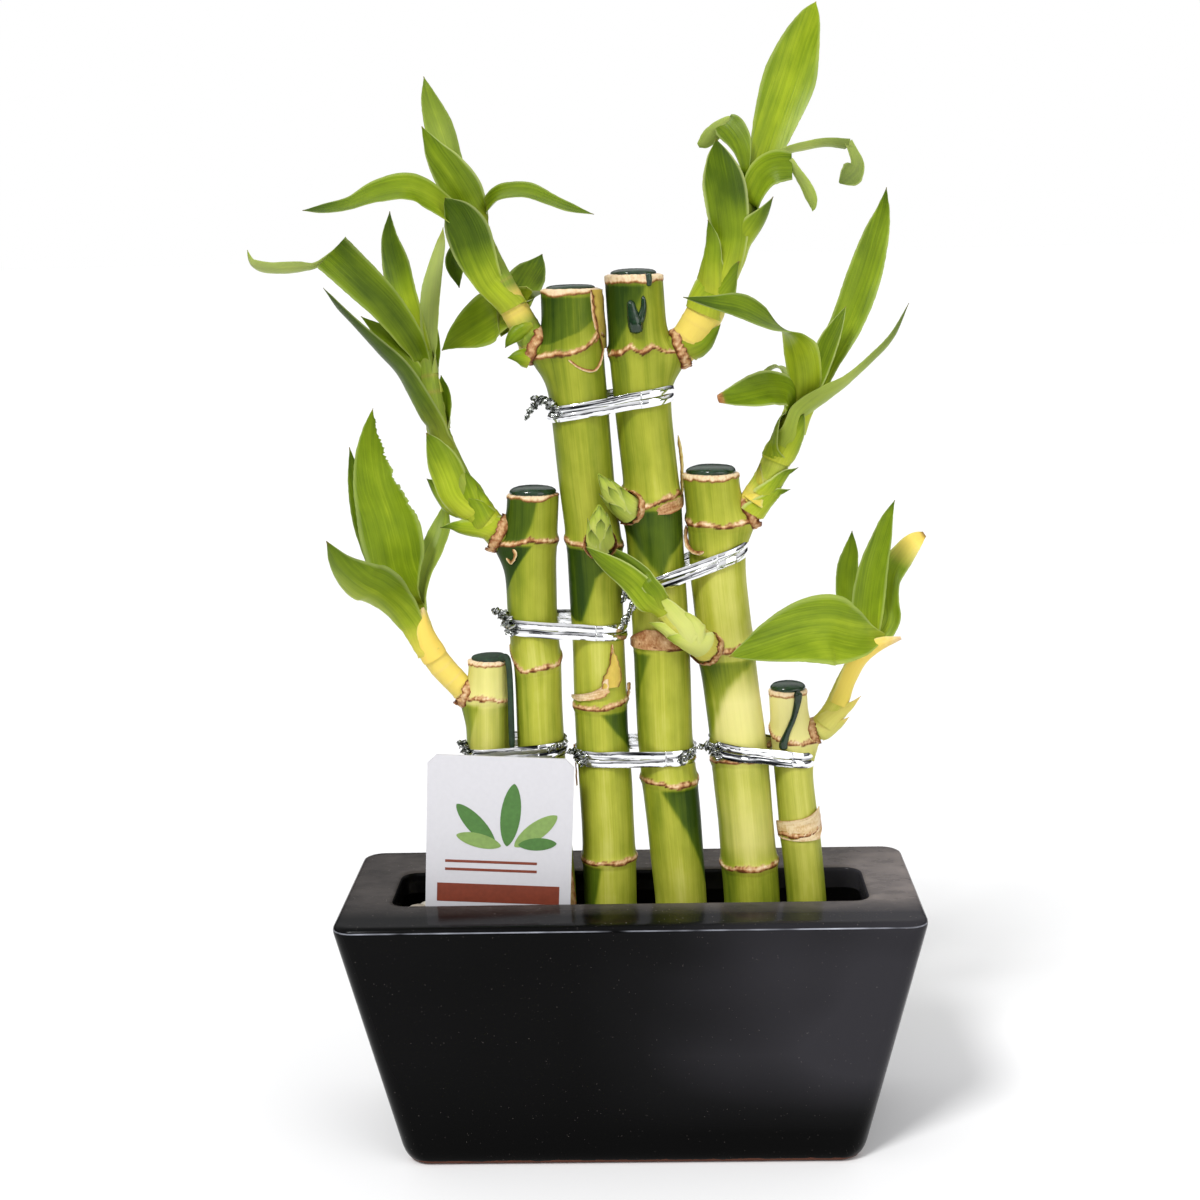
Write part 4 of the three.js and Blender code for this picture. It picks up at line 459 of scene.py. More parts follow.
# Tone of each shoot's stem, how yellow it is as (share, yellow), and what its leaves have of
# their own
STYLES = {
    "leafy_shoot_1": {
        "stem_tone": 0.9, "stem_yellow": [(0, 0.85), (0.5, 0.95), (1, 0.6)],
        "front_blade": {"tones": [(0, 0.5), (0.3, 0.45, 0.5, 0.42), (0.7, 0.42, 0.52, 0.45),
            (1, 0.4)], "teeth": [(1, 0.42, 1, 0.9)], "section": [(0, 0.5, 0.1), (1, 0.25, 0)],
            "wrap": 5, "grip": 1.2},
        "hidden_blade": {"wrap": 0, "tones": [(0, 0.4), (1, 0.3)]},
        "left_blade": {"wrap": 2, "grip": 0.8, "tones": [(0, 0.75), (0.3, 0.65, 0.5, 0.4),
            (0.6, 0.7, 0.5, 0.3), (0.8, 0.55, 0.4, 0.3), (1, 0.15)], "section": [(0, 0.9, 0.2),
            (0.5, 0.45, 0.3), (1, 0.4, 0.3)], "marks": [(0, 0, 0.6, 0), (0.22, 0, 0, 0),
            (0.97, 0, 0, 0), (1, 0.5, 0, 0)]},
        "right_blade": {"tones": [(0, 0.55), (1, 0.5)], "section": [(0, 0.8, 0.6), (1, 0.6, 0.5)],
            "marks": [(0, 0, 0, 0.2), (1, 0, 0, 0.1)]},
        "torn_sheath": {"marks": [(0, 0, 1, 0), (0.8, 0, 1, 0), (1, 0.8, 0.8, 0)],
            "tones": [(0, 0.9), (1, 0.9)]},
    },
    "leafy_shoot_2": {
        "stem_tone": 0.5, "stem_yellow": [(0, 0.2), (0.1, 0.05), (1, 0)],
        "folded_blade": {"tones": [(0, 0.6, 0.5, 0.45), (0.3, 0.55, 0.3, 0.45),
            (0.75, 0.5, 0.25, 0.45), (1, 0.45, 0.3, 0.3)], "marks": NO_MARKS},
        "folded_tip": {"marks": [(0, 0, 0, 0.3), (0.8, 0, 0, 0.45), (0.95, 0, 0, 0.1),
            (1, 0.3, 0, 0)]},
        "upright_blade": {"tones": [(0, 0.65), (0.45, 0.6), (0.6, 0.35, 0.28, 0.3), (1, 0.12)]},
        "left_blade": {"tones": [(0, 0.32), (0.5, 0.14, 0.1, 0.18), (1, 0.05)], "margin": 0.3},
        "middle_blade": {"tones": [(0, 0.5), (1, 0.45)]},
        "pale_blade": {"tones": [(0, 0.5), (1, 0.5)], "marks": [(0, 0, 0, 0.3), (0.8, 0, 0, 0.45),
            (1, 0.2, 0, 0.1)]},
        "dark_blade": {"tones": [(0, 0.4), (1, 0.25)]},
        "front_bract": {"wrap": 10, "broad": 0, "open": 0, "section": [(0, 1, 0), (1, 0.5, 0.1)],
            "tones": [(0, 0.65), (0.4, 0.6, 0.65, 0.45), (0.8, 0.4), (1, 0.2)]},
        "small_bract": {"tones": [(0, 0.5), (1, 0.4)]},
    },
    "leafy_shoot_3": {
        "stem_tone": 0.5, "stem_yellow": [(0, 0.7), (0.12, 0.7), (0.2, 0), (0.3, 0), (0.36, 0.75),
            (0.46, 0.75), (0.52, 0), (1, 0)],
        "front_blade": {"wrap": 8, "grip": 1.5, "tones": [(0, 0.6), (0.3, 0.55, 0.6, 0.5),
            (0.5, 0.16, 0.16, 0.2), (0.85, 0.08), (1, 0.05, 0.1, 0.2)], "margin": 0.35},
        "right_blade": {"wrap": 4, "tones": [(0, 0.4), (0.6, 0.35), (1, 0.15)]},
        "left_blade": {"wrap": 4, "tones": [(0, 0.5), (0.6, 0.5, 0.5, 0.6), (1, 0.45)]},
        "lower_bract_1": {"wrap": 0, "open": 0, "broad": 0, "tones": [(0, 0.5), (0.5, 0.4),
            (1, 0.2)]},
        "lower_bract_2": {"wrap": 0, "open": 0, "broad": 0, "tones": [(0, 0.55), (0.5, 0.4),
            (1, 0.15)]},
        "drooping_blade": {"tones": [(0, 0.25), (1, 0.2)]},
        "arching_left": {"tones": [(0, 0.55), (0.4, 0.5, 0.55, 0.45), (0.75, 0.35), (1, 0.1)]},
        "upper_blade": {"tones": [(0, 0.3), (0.4, 0.35, 0.5, 0.35), (1, 0.28)], "margin": 0.5},
        "top_blade": {"tones": [(0, 0.4), (0.5, 0.45, 0.55, 0.35), (1, 0.35)],
            "marks": [(0, 0, 0, 0.1), (0.5, 0, 0, 0.15), (0.97, 0, 0, 0), (1, 0.5, 0, 0)]},
        "arching_right": {"wrap": 0, "tones": [(0, 0.35), (0.5, 0.4), (1, 0.3)]},
    },
    "leafy_shoot_4": {
        "stem_tone": 0.6, "stem_yellow": [(0, 0.9), (0.3, 0.9), (0.4, 0.1), (1, 0)],
        "lower_bract": {"wrap": 4, "tones": [(0, 0.6), (0.5, 0.5), (1, 0.2)]},
        "base_bract": {"wrap": 4, "open": 0, "broad": 0.1, "tones": [(0, 0.5), (0.5, 0.4),
            (1, 0.2)]},
        "top_blade": {"tones": [(0, 0.55), (0.5, 0.5, 0.62, 0.5), (1, 0.55)]},
        "folded_left": {"tones": [(0, 0.45), (0.6, 0.35, 0.4, 0.5), (1, 0.35)],
            "marks": NO_MARKS},
        "left_bract": {"tones": [(0, 0.55), (0.5, 0.5, 0.45, 0.4), (1, 0.15)], "broad": 0,
            "open": 0},
        "front_blade": {"wrap": 10, "grip": 1.5, "tones": [(0, 0.6), (0.3, 0.35, 0.4, 0.45),
            (0.5, 0.3, 0.2, 0.1), (1, 0.1)], "margin": 0.5},
        "folded_right": {"tones": [(0, 0.55), (0.5, 0.6, 0.5, 0.45), (1, 0.35)], "wrap": 5,
            "marks": NO_MARKS},
        "pale_tip": {"tones": [(0, 0.35), (1, 0.25)], "marks": [(0, 0, 0, 0.3), (1, 0, 0, 0.1)]},
        "pale_blade": {"tones": [(0, 0.45), (0.6, 0.5), (1, 0.3)], "marks": [(0, 0, 0, 0.2),
            (0.5, 0, 0, 0.35), (1, 0, 0, 0.2)]},
    },
    "leafy_shoot_5": {
        "stem_tone": 0.7, "stem_yellow": [(0, 0.9), (0.22, 0.8), (0.35, 0.1), (1, 0)],
        "front_bract": {"wrap": 5, "broad": 0, "open": 0},
        "left_bract": {"wrap": 3, "broad": 0, "open": 0, "marks": [(0, 0, 0.8, 0),
            (0.5, 0, 0.3, 0), (1, 0.3, 0, 0)]},
        "right_bract_1": {"wrap": 4, "open": 0, "margin": 0.6},
        "right_bract_2": {"wrap": 4, "open": 0, "margin": 0.6},
        "long_blade": {"tones": [(0, 0.55), (0.4, 0.5, 0.42, 0.5), (0.8, 0.45, 0.35, 0.5),
            (1, 0.15)]},
        "short_blade": {"tones": [(0, 0.45), (1, 0.35)], "margin": 0.5},
        "folded_blade": {"tones": [(0, 0.65), (0.4, 0.6), (0.5, 0.38), (0.8, 0.28), (1, 0.12)]},
        "thin_blade": {"tones": [(0, 0.5), (0.5, 0.5), (1, 0.12)], "marks": [(0, 0, 0, 0.1),
            (0.5, 0, 0, 0.3), (0.95, 0, 0, 0.1), (1, 0.4, 0, 0)]},
        "left_blade": {"wrap": 5, "margin": 0.4, "tones": [(0, 0.5), (1, 0.38)],
            "marks": [(0, 0, 0, 0), (0.94, 0, 0, 0), (0.97, 0.9, 0, 0), (1, 1, 0, 0)]},
        "hidden_blade": {"tones": [(0, 0.4), (1, 0.4)], "marks": [(0, 0, 0, 0.3),
            (1, 0, 0, 0.3)]},
    },
    "leafy_shoot_6": {
        "stem_tone": 0.85, "stem_yellow": [(0, 0.6), (0.3, 0.35), (0.7, 0.3), (1, 0.2)],
        "glossy_blade": {"wrap": 0, "cover": 3, "tones": [(0, 0.5), (0.5, 0.5, 0.55, 0.6),
            (1, 0.4)]},
        "yellow_tip_blade": {"marks": [(0, 0, 0, 0), (0.6, 0, 0, 0), (0.85, 0, 1, 0.1),
            (0.95, 0.2, 1, 0), (1, 0.9, 0.5, 0)]},
        "bract_1": {"tones": [(0, 0.85), (1, 0.7)], "marks": [(0, 0, 0.5, 0.3),
            (0.7, 0, 0.7, 0.2), (1, 0.5, 1, 0)]},
        "bract_2": {"tones": [(0, 0.85), (1, 0.7)], "marks": [(0, 0, 0.4, 0.4),
            (0.7, 0, 0.6, 0.3), (1, 0.5, 1, 0)]},
        "yellow_sheath": {"tones": [(0, 0.8), (1, 0.8)], "broad": 0.2, "marks": [(0, 0, 0.7, 0),
            (0.7, 0, 1, 0), (0.85, 0.3, 1, 0), (1, 1, 0.5, 0)]},
    },
    "young_shoot": {
        "stem_tone": 0.9, "stem_yellow": [(0, 0.5), (0.4, 0.4), (1, 0.1)],
        "long_blade": {"wrap": 6, "tones": [(0, 0.6), (0.5, 0.42), (1, 0.25)], "margin": 0.5},
        "upper_blade": {"wrap": 5, "tones": [(0, 0.5), (0.5, 0.3), (1, 0.2)], "margin": 0.5},
        "front_bract": PALE_BRACT,
        "side_bract": PALE_BRACT,
        "torn_bract": PALE_BRACT,
        "low_bract": PALE_BRACT,
    },
}

# Shares of a leaf's half width at which its points lie, and its rows of points
COLUMNS = np.array([0, 0.14, 0.28, 0.42, 0.56, 0.7, 0.83, 0.94, 1])
SHARES = np.concatenate([-COLUMNS[:0:-1], COLUMNS])
LEAST_ROWS = 30
ROWS_PER_MM = 1.4
TORN_ROWS_PER_MM = 3
LEAF_THICKNESS = 0.24
STEM_ROWS = 70
STEM_SIDES = 28

# Cane of each wax cap, its height over the top, its share of the top, how rough it is, and its
# drips as (x, y, z, radius)
WAX = {
    "wax_cap_1": ("cane_1", 1.2, 0.93, 0.75, [[(-32.5, -3, 130.3, 1), (-30.2, -4.7, 128.4, 0.8),
        (-30, -4.7, 105.5, 0.8)]]),
    "wax_cap_2": ("cane_2", 2, 0.95, 0.12, []),
    "wax_cap_3": ("cane_3", 1, 0.86, 0.12, []),
    "wax_cap_4": ("cane_4", 1.4, 0.84, 0.1, []),
    "wax_cap_5": ("cane_5", 2, 0.96, 0.12, []),
    "wax_cap_6": ("cane_6", 1.8, 1, 0.12, []),
}

# Wax that ran onto a cane as [(turn, z, half width)...]
RUNS = {
    "wax_cap_4": [[(-9, 221.6, 0.9), (-6, 218.5, 1.4), (-2, 215.6, 1.9), (-1, 213.2, 1.5)],
        [(17, 222.6, 0.5), (16, 219.6, 0.8), (9, 217, 1.1), (2, 215.4, 1)],
        [(30, 228, 0.8), (31, 226.4, 0.8), (30, 224.8, 0.6)]],
    "wax_cap_6": [[(27, 120.4, 1.3), (26, 118, 1), (10, 113.5, 0.75), (-12, 109.4, 0.8),
        (-24, 106.6, 1.2), (-27, 104.6, 1.1)]],
}

# Section of a wax cap as (share of its height, share of its radius)
WAX_SECTION = [(-0.3, 0.7), (-0.25, 0.9), (0, 0.97), (0.25, 0.98), (0.5, 0.93), (0.72, 0.83),
    (0.88, 0.66), (0.97, 0.45), (1.02, 0.22), (1.03, 0.07)]

# Canes held by each tie, its heights on them, the far end of its twisted tail and how thick it is
TIES = {
    "tie_1": ("cane_3", "cane_4", 194.3, 196.8, (-22.5, -5, 197.5), 1.3),
    "tie_2": ("cane_2", "cane_3", 138.4, 137.2, (-34.2, -4, 143.2), 1.5),
    "tie_3": ("cane_4", "cane_5", 149.6, 155.2, (-0.6, -4.5, 144.5), 1.2),
    "tie_4": ("cane_1", "cane_2", 104.6, 105.6, (-44.5, -4, 108), 1.2),
    "tie_5": ("cane_3", "cane_4", 103.6, 103.6, (-15.5, -7.5, 105.8), 1.2),
    "tie_6": ("cane_5", "cane_6", 104.6, 102.3, (18.2, -7.5, 106.5), 1.2),
}

# Second twisted end that some ties have, as (x, y, z, half width)
TWISTS = {
    "tie_2": [(-1, -7.2, 138.2, 0.9), (0.6, -7.8, 141, 1.1), (3, -8, 145.5, 1),
        (4.6, -8, 148, 0.7)],
    "tie_4": [(-20.6, -7, 106.1, 0.8), (-18, -7.4, 107.5, 0.9), (-15.2, -7.2, 108.8, 0.5)],
    "tie_5": [(13.6, -8, 102.6, 0.8), (16, -8.2, 104.6, 0.9), (18, -8.2, 106.8, 0.5)],
    "tie_1": [(-20.5, -4.5, 196.6, 1.1), (-22.5, -5, 194.6, 1), (-24, -5, 192, 0.5)],
}
TAIL_TURNS = 2.2
TWIST_TURNS = 1.8
TWIST_STEPS = 90
TWIST_SIDES = 12
STRAND_SPACING = 2.15
STRAND_STEP = 0.45
# Section of a foil strand as (distance out, height)
STRAND = [(0, -1), (0.14, -1), (0.34, -0.5), (0.45, 0), (0.34, 0.5), (0.14, 1), (0, 1), (0, 0)]

# Card as (width, height, thickness, corner), and the middle of its foot
CARD = (38, 60, 0.7, 2.3)
CARD_FOOT = (-35.6, -11.4, 46)
CARD_LEAN = 3
# Front and back of the print, its bars as (left margin, right margin, z, height), and the leaves
# of its motif as (x, z, length, half width, turn in radians, finish)
PRINT = (-0.06, 0.02)
CARD_BARS = ((3, 3, 20.5, 5), (5, 9, 29, 0.7), (5, 9, 31.2, 0.7))
CARD_LEAVES = ((2, 36, 17, 2.6, 0.1, 2), (-1, 36, 15, 2.3, -0.75, 2), (4, 36, 14, 2.3, 0.9, 3),
    (0.5, 36, 12, 1.9, -1.35, 3), (5, 36.5, 10, 1.7, 1.5, 2))

# Screen colours at each tone
LEAF_SHADES = [(0.0, (34, 54, 5)), (0.25, (72, 94, 10)), (0.5, (116, 138, 20)),
    (0.75, (162, 178, 38)), (1.0, (202, 208, 88))]
CANE_SHADES = [(0.0, (38, 60, 6)), (0.25, (80, 100, 18)), (0.5, (132, 142, 36)),
    (0.75, (172, 174, 62)), (1.0, (202, 200, 104))]
BARK_SHADES = [(0.1, (96, 52, 26)), (0.4, (156, 104, 62)), (0.7, (202, 162, 116)),
    (1.0, (232, 208, 172))]

CAMERA_PLACE = (8.8, -491, 236)
CAMERA_PITCH = 10.55
CAMERA_ROLL = 1.33
CAMERA_YAW = 1.76
CAMERA_LENS = 57.7
CAMERA_SENSOR = 36
CAMERA_CLIP = (0.02, 60)

# Places, sizes and powers of the lights and of the floor, in metres and watts
SUN_PLACE = (-0.45, -0.75, 1.0)
SUN_POWER = 2.1
SUN_SPREAD = 14
FILL_PLACE = (0.9, -0.9, 0.5)
FILL_TARGET = (0, 0, 0.15)
FILL_SIZE = 0.9
FILL_POWER = 5
FLOOR_HALF = 30

# Numbers that scatter the values at the corners of the noise's grid
HASH_FACTORS = (73856093, 19349663, 83492791, 1274126177)
HASH_MASK = 0x7FFFFFFF


def srgb(red, green, blue):
    """Linear colour of an 8-bit screen colour."""
    def linear(value):
        share = value / 255
        return share / 12.92 if share <= 0.04045 else ((share + 0.055) / 1.055) ** 2.4
    return (linear(red), linear(green), linear(blue), 1.0)


def hashed(x, y, z):
    """Repeatable value from -1 to 1 for each whole-numbered point."""
    by_x, by_y, by_z, last = HASH_FACTORS
    total = x.astype(np.int64) * by_x ^ y.astype(np.int64) * by_y
    total = (total ^ z.astype(np.int64) * by_z) & HASH_MASK
    total = (total ^ (total >> 13)) * last & HASH_MASK
    return ((total ^ (total >> 16)) & 0xFFFF) / 32767.5 - 1


def noise(x, y=0.0, z=0.0):
    """Smooth noise from -1 to 1 with a grid of one unit."""
    x, y, z = np.broadcast_arrays(*(np.asarray(v, float) for v in (x, y, z)))
    base = [np.floor(v) for v in (x, y, z)]
    part = [v - b for v, b in zip((x, y, z), base)]
    ease = [p * p * (3 - 2 * p) for p in part]
    total = 0
    for i in (0, 1):
        for j in (0, 1):
            for k in (0, 1):
                share = 1
                for e, step in zip(ease, (i, j, k)):
                    share = share * (e if step else 1 - e)
                total = total + share * hashed(base[0] + i, base[1] + j, base[2] + k)
    return total


def smooth(value):
    """Eased step from 0 to 1."""
    value = np.clip(value, 0, 1)
    return value * value * (3 - 2 * value)


def unit(vectors):
    return vectors / np.maximum(np.linalg.norm(vectors, axis=-1, keepdims=True), 1e-9)


def layers(*values):
    """Values spread to one shape and joined as coordinates or as painted channels."""
    return np.stack(np.broadcast_arrays(*values), -1)


def full_turn(count):
    """Angles in radians of points evenly round a circle."""
    return np.linspace(0, 2 * math.pi, count, endpoint=False)


def run_along(path):
    """Distance from the start of a path to each of its points."""
    return np.concatenate([[0], np.cumsum(np.linalg.norm(np.diff(path, axis=0), axis=1))])


def at_places(places, rows):
    """Values at the places, from rows that start with their place."""
    rows = np.array(sorted(rows), float)
    return [np.interp(places, rows[:, 0], rows[:, k]) for k in range(1, rows.shape[1])]


def mixed_tone(places, rows, spot):
    """Tones at the places, from the left where the spot is -1 to the right where it is 1."""
    rows = [row if len(row) == 4 else (row[0], row[1], row[1], row[1]) for row in rows]
    left, middle, right = (values[:, None] for values in at_places(places, rows))
    return np.where(spot < 0, middle + (left - middle) * -spot, middle + (right - middle) * spot)


def along(stations, count):
    """Smooth values through the stations in a number of even steps."""
    p = np.asarray(stations, float)
    p = np.vstack([2 * p[0] - p[1], p, 2 * p[-1] - p[-2]])
    last = len(stations) - 1
    u = np.linspace(0, 1, count) * last
    i = np.minimum(u.astype(int), last - 1)
    u = (u - i)[:, None]
    a, b, c, d = p[i], p[i + 1], p[i + 2], p[i + 3]
    return 0.5 * (2 * b + (c - a) * u + (2 * a - 5 * b + 4 * c - d) * u ** 2
        + (3 * b - a - 3 * c + d) * u ** 3)


def across(path, roll=0.0):
    """Tangent, side and face directions along a path, turned by a roll in degrees."""
    tangent = unit(np.gradient(path, axis=0))
    wide = unit(np.cross([0.0, 1.0, 0.0], tangent))
    deep = np.cross(tangent, wide)
    turn = np.radians(np.broadcast_to(roll, len(path)))[:, None]
    side = wide * np.cos(turn) + deep * np.sin(turn)
    return tangent, side, np.cross(side, tangent)


def circles(path, radius, count, start=0.0):
    """Rings round a path; the radius and the first angle may vary along it and round it."""
    _, side, face = across(path)
    turn = full_turn(count) + start
    radius = np.broadcast_to(np.asarray(radius, float).reshape(len(path), -1),
        (len(path), count))
    return (path[:, None] + side[:, None] * (radius * np.cos(turn))[..., None]
        + face[:, None] * (radius * np.sin(turn))[..., None])


def tapered(count, steep):
    """Shares of the full radius along a strip with rounded ends."""
    return np.sqrt(np.clip(np.sin(np.linspace(0, math.pi, count)) * steep, 0.02, 1))


def in_scene(name, data):
    """New object that is linked to the scene."""
    shape = bpy.data.objects.new(name, data)
    bpy.context.scene.collection.objects.link(shape)
    return shape


class Piece:
    """Closed surfaces in millimetres that are gathered into one mesh."""

    def __init__(self):
        self.points = []
        self.faces = []
        self.paint = []
        self.grain = []
        self.finish = []
        self.total = 0

    def add(self, points, faces, paint, grain, finish):
        """Take up a closed surface and turn its faces outward."""
        triangles = [(f[0], f[k], f[k + 1]) for f in faces for k in range(1, len(f) - 1)]
        p = points[np.array(triangles)]
        volume = np.einsum("ij,ij->i", p[:, 0], np.cross(p[:, 1], p[:, 2])).sum()
        if volume < 0:
            faces = [face[::-1] for face in faces]
        self.faces += [[i + self.total for i in face] for face in faces]
        self.points.append(points)
        self.paint.append(paint)
        self.grain.append(grain)
        self.finish += [finish] * len(faces)
        self.total += len(points)

    def build(self, name, node, slot, looks, sharp=50):
        """Make the mesh; edges sharper than the angle are kept sharp."""
        mesh = bpy.data.meshes.new(name)
        mesh.from_pydata(np.vstack(self.points) * MM, [], self.faces)
        mesh.polygons.foreach_set("material_index", self.finish)
        mesh.polygons.foreach_set("use_smooth", [True] * len(self.faces))
        mesh.set_sharp_from_angle(angle=math.radians(sharp))
        paint = mesh.attributes.new("paint", "FLOAT_COLOR", "POINT")
        paint.data.foreach_set("color", np.vstack(self.paint).astype(np.float32).ravel())
        grain = mesh.attributes.new("grain", "FLOAT_VECTOR", "POINT")
        grain.data.foreach_set("vector", np.vstack(self.grain).astype(np.float32).ravel())
        for look in looks:
            mesh.materials.append(look)
        shape = in_scene(name, mesh)
        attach(shape, "root")
        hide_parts(node)


def ring_quads(rows, around, loop=False):
    i, j = np.meshgrid(np.arange(rows if loop else rows - 1), np.arange(around), indexing="ij")
    k = (j + 1) % around
    n = (i + 1) % rows
    quads = [i * around + j, i * around + k, n * around + k, n * around + j]
    return np.stack(quads, -1).reshape(-1, 4).tolist()


def skin(piece, rings, paint=(0.5, 0, 0, 0), grain=None, finish=0, loop=False):
    """Surface over a row of rings, closed by a fan at both ends or joined into a loop."""
    rings = np.asarray(rings, float)
    rows, around = rings.shape[:2]
    faces = ring_quads(rows, around, loop)
    points = rings.reshape(-1, 3)
    paint = np.broadcast_to(np.asarray(paint, float), (rows, around, 4))
    grain = rings if grain is None else grain
    colours = paint.reshape(-1, 4)
    grains = grain.reshape(-1, 3)
    if not loop:
        last = (rows - 1) * around
        middle = rows * around
        for j in range(around):
            k = (j + 1) % around
            faces.append([k, j, middle])
            faces.append([last + j, last + k, middle + 1])
        points = np.vstack([points, rings[[0, -1]].mean(axis=1)])
        colours = np.vstack([colours, paint[[0, -1]].mean(axis=1)])
        grains = np.vstack([grains, grain[[0, -1]].mean(axis=1)])
    piece.add(points, faces, colours, grains, finish)


def slab(piece, upper, lower, paint, under, grain):
    """Closed sheet between an upper and a lower grid of points."""
    rows, columns = upper.shape[:2]
    rings = np.concatenate([upper, lower[:, ::-1]], axis=1)
    around = 2 * columns
    faces = ring_quads(rows, around)
    last = (rows - 1) * around
    for j in range(columns - 1):
        a, b, c, d = j, j + 1, around - 2 - j, around - 1 - j
        faces.append([b, a, d, c])
        faces.append([last + a, last + b, last + c, last + d])
    colours = np.concatenate([paint, under[:, ::-1]], axis=1).reshape(-1, 4)
    grains = np.concatenate([grain, grain[:, ::-1]], axis=1).reshape(-1, 3)
    piece.add(rings.reshape(-1, 3), faces, colours, grains, 0)


# Leaves and shoots

def with_rolls(stations):
    """Stations with a roll each; one without keeps the roll of the station before it."""
    rows = []
    for station in stations:
        rows.append(station if len(station) == 5 else (*station, rows[-1][4]))
    return rows


def nearest(stem, points):
    """Points, radii and directions of a stem's axis nearest to the given points."""
    line = along(stem, 160)
    gaps = np.linalg.norm(line[None, :, :3] - points[:, None], axis=2)
    best = np.argmin(gaps, axis=1)
    return line[best, :3], line[best, 3], unit(np.gradient(line[:, :3], axis=0))[best]


def blade(piece, stations, stem, order, seed, style):
    """Leaf with a base clasped round its stem, a cupped or folded section and wavy margins."""
    stations = with_rolls(stations)
    length = run_along(np.array(stations)[:, :3])[-1]
    rows = max(LEAST_ROWS, int(length * (TORN_ROWS_PER_MM if style["teeth"] else ROWS_PER_MM)))
    t = np.linspace(0, 1, rows)
    data = along(stations, rows)
    roll = data[:, 4] + style["open"] * (np.sign(data[:, 4]) * 180 - data[:, 4])
    path = data[:, :3]
    run = run_along(path)
    hold = (1 - smooth(run / min(style["wrap"] + 0.1, 0.6 * run[-1]))) * (style["wrap"] > 0)
    _, _, face = across(path, roll)
    foot, radius, ahead = nearest(stem, path)
    clasp = radius + 0.1 + 0.1 * order * smooth(run / 3)
    path = path + hold[:, None] * (foot - face * clasp[:, None] - path)
    foot, radius, _ = nearest(stem, path)
    depth = ((foot - path) * face).sum(1)
    aside = np.linalg.norm(foot - path - depth[:, None] * face, axis=1)
    push = np.maximum(0, radius + 0.15 - depth) * smooth(1.6 - aside / radius) * (depth > -1)
    path = path - face * (push * smooth(1.6 - run / style["cover"]))[:, None]
    tangent, side, face = across(path, roll)
    tangent = unit(tangent + (ahead - tangent) * hold[:, None])
    side = unit(side - (side * tangent).sum(1)[:, None] * tangent)
    face = np.cross(side, tangent)
    half = np.maximum(data[:, 3] * (1 + style["broad"] * np.sin(math.pi * t)), 0.1)
    width = half + (clasp - half) * hold
    open_turn, fold = at_places(t, style["section"])
    turn = open_turn + (style["grip"] - open_turn) * hold
    fold = fold * (1 - hold)
    bend = turn[:, None] * COLUMNS ** (1 - fold[:, None])
    middle = (bend[:, 1:] + bend[:, :-1]) / 2
    step = np.diff(COLUMNS)
    zero = np.zeros((rows, 1))
    x = np.hstack([zero, np.cumsum(np.cos(middle) * step, axis=1)])
    z = np.hstack([zero, np.cumsum(np.sin(middle) * step, axis=1)])
    size = (width / x.max(axis=1))[:, None]
    x = np.hstack([-x[:, :0:-1], x]) * size
    z = np.hstack([z[:, :0:-1], z]) * size
    bend = np.hstack([-bend[:, :0:-1], bend])
    mirrored = side[rows // 3:].mean(axis=0)[0] < 0
    spot = -SHARES if mirrored else SHARES
    near = (smooth(half / 3) * (1 - hold))[:, None] * np.abs(SHARES) ** 1.6
    z = z + style["wave"] * near * noise(run[:, None] / 8 + seed * 3.7, np.sign(SHARES) * 2.3)
    edge = np.abs(SHARES) > 0.99
    x = x + np.sign(SHARES) * edge * 0.06 * noise(run[:, None] * 1.3, SHARES * 3, seed)
    for on_side, start, end, depth in style["teeth"]:
        jag = depth * (np.abs(noise(run / 0.55, seed)) + 0.8 * np.abs(noise(run / 3, seed + 1)))
        jag = jag * smooth((t - start) * 20) * smooth((end - t) * 30) / half
        x = x * (1 - jag[:, None] * np.abs(SHARES) ** 3 * (spot * on_side > 0))
    centre = path[:, None] + side[:, None] * x[..., None] + face[:, None] * z[..., None]
    normal = side[:, None] * -np.sin(bend)[..., None] + face[:, None] * np.cos(bend)[..., None]
    thick = LEAF_THICKNESS * (1 - 0.72 * SHARES ** 2) * np.minimum(1, half / 1.5 + 0.2)[:, None]
    rise = normal * thick[..., None]
    dry, yellow, pale = (values[:, None] for values in at_places(t, style["marks"]))
    pale = np.maximum(pale, style["margin"] * (np.abs(SHARES) > 0.9))
    paint = layers(mixed_tone(t, style["tones"], spot), dry, yellow, pale)
    under = paint + np.array([0.06, 0, 0, 0])
    grain = layers(SHARES * width[:, None], run[:, None], seed)
    slab(piece, centre + rise, centre - rise, paint, under, grain)


def fleshy_stem(piece, stations, seed, tone, yellow):
    """Round stem, closed at both ends, with faint scars of fallen scales."""
    data = along(stations, STEM_ROWS)
    run = run_along(data[:, :3])
    scar = np.maximum(0, np.sin(run * 1.5 + seed))
    rings = circles(data[:, :3], data[:, 3] * (1 + 0.03 * scar ** 8), STEM_SIDES)
    turn = full_turn(STEM_SIDES)
    run = run[:, None]
    paint = layers(tone + 0.1 * noise(run / 3, turn * 2, seed), 0.25 * scar[:, None] ** 16,
        at_places(np.linspace(0, 1, STEM_ROWS), yellow)[0][:, None], 0.1)
    skin(piece, rings, paint, layers(turn * 4, run, seed))


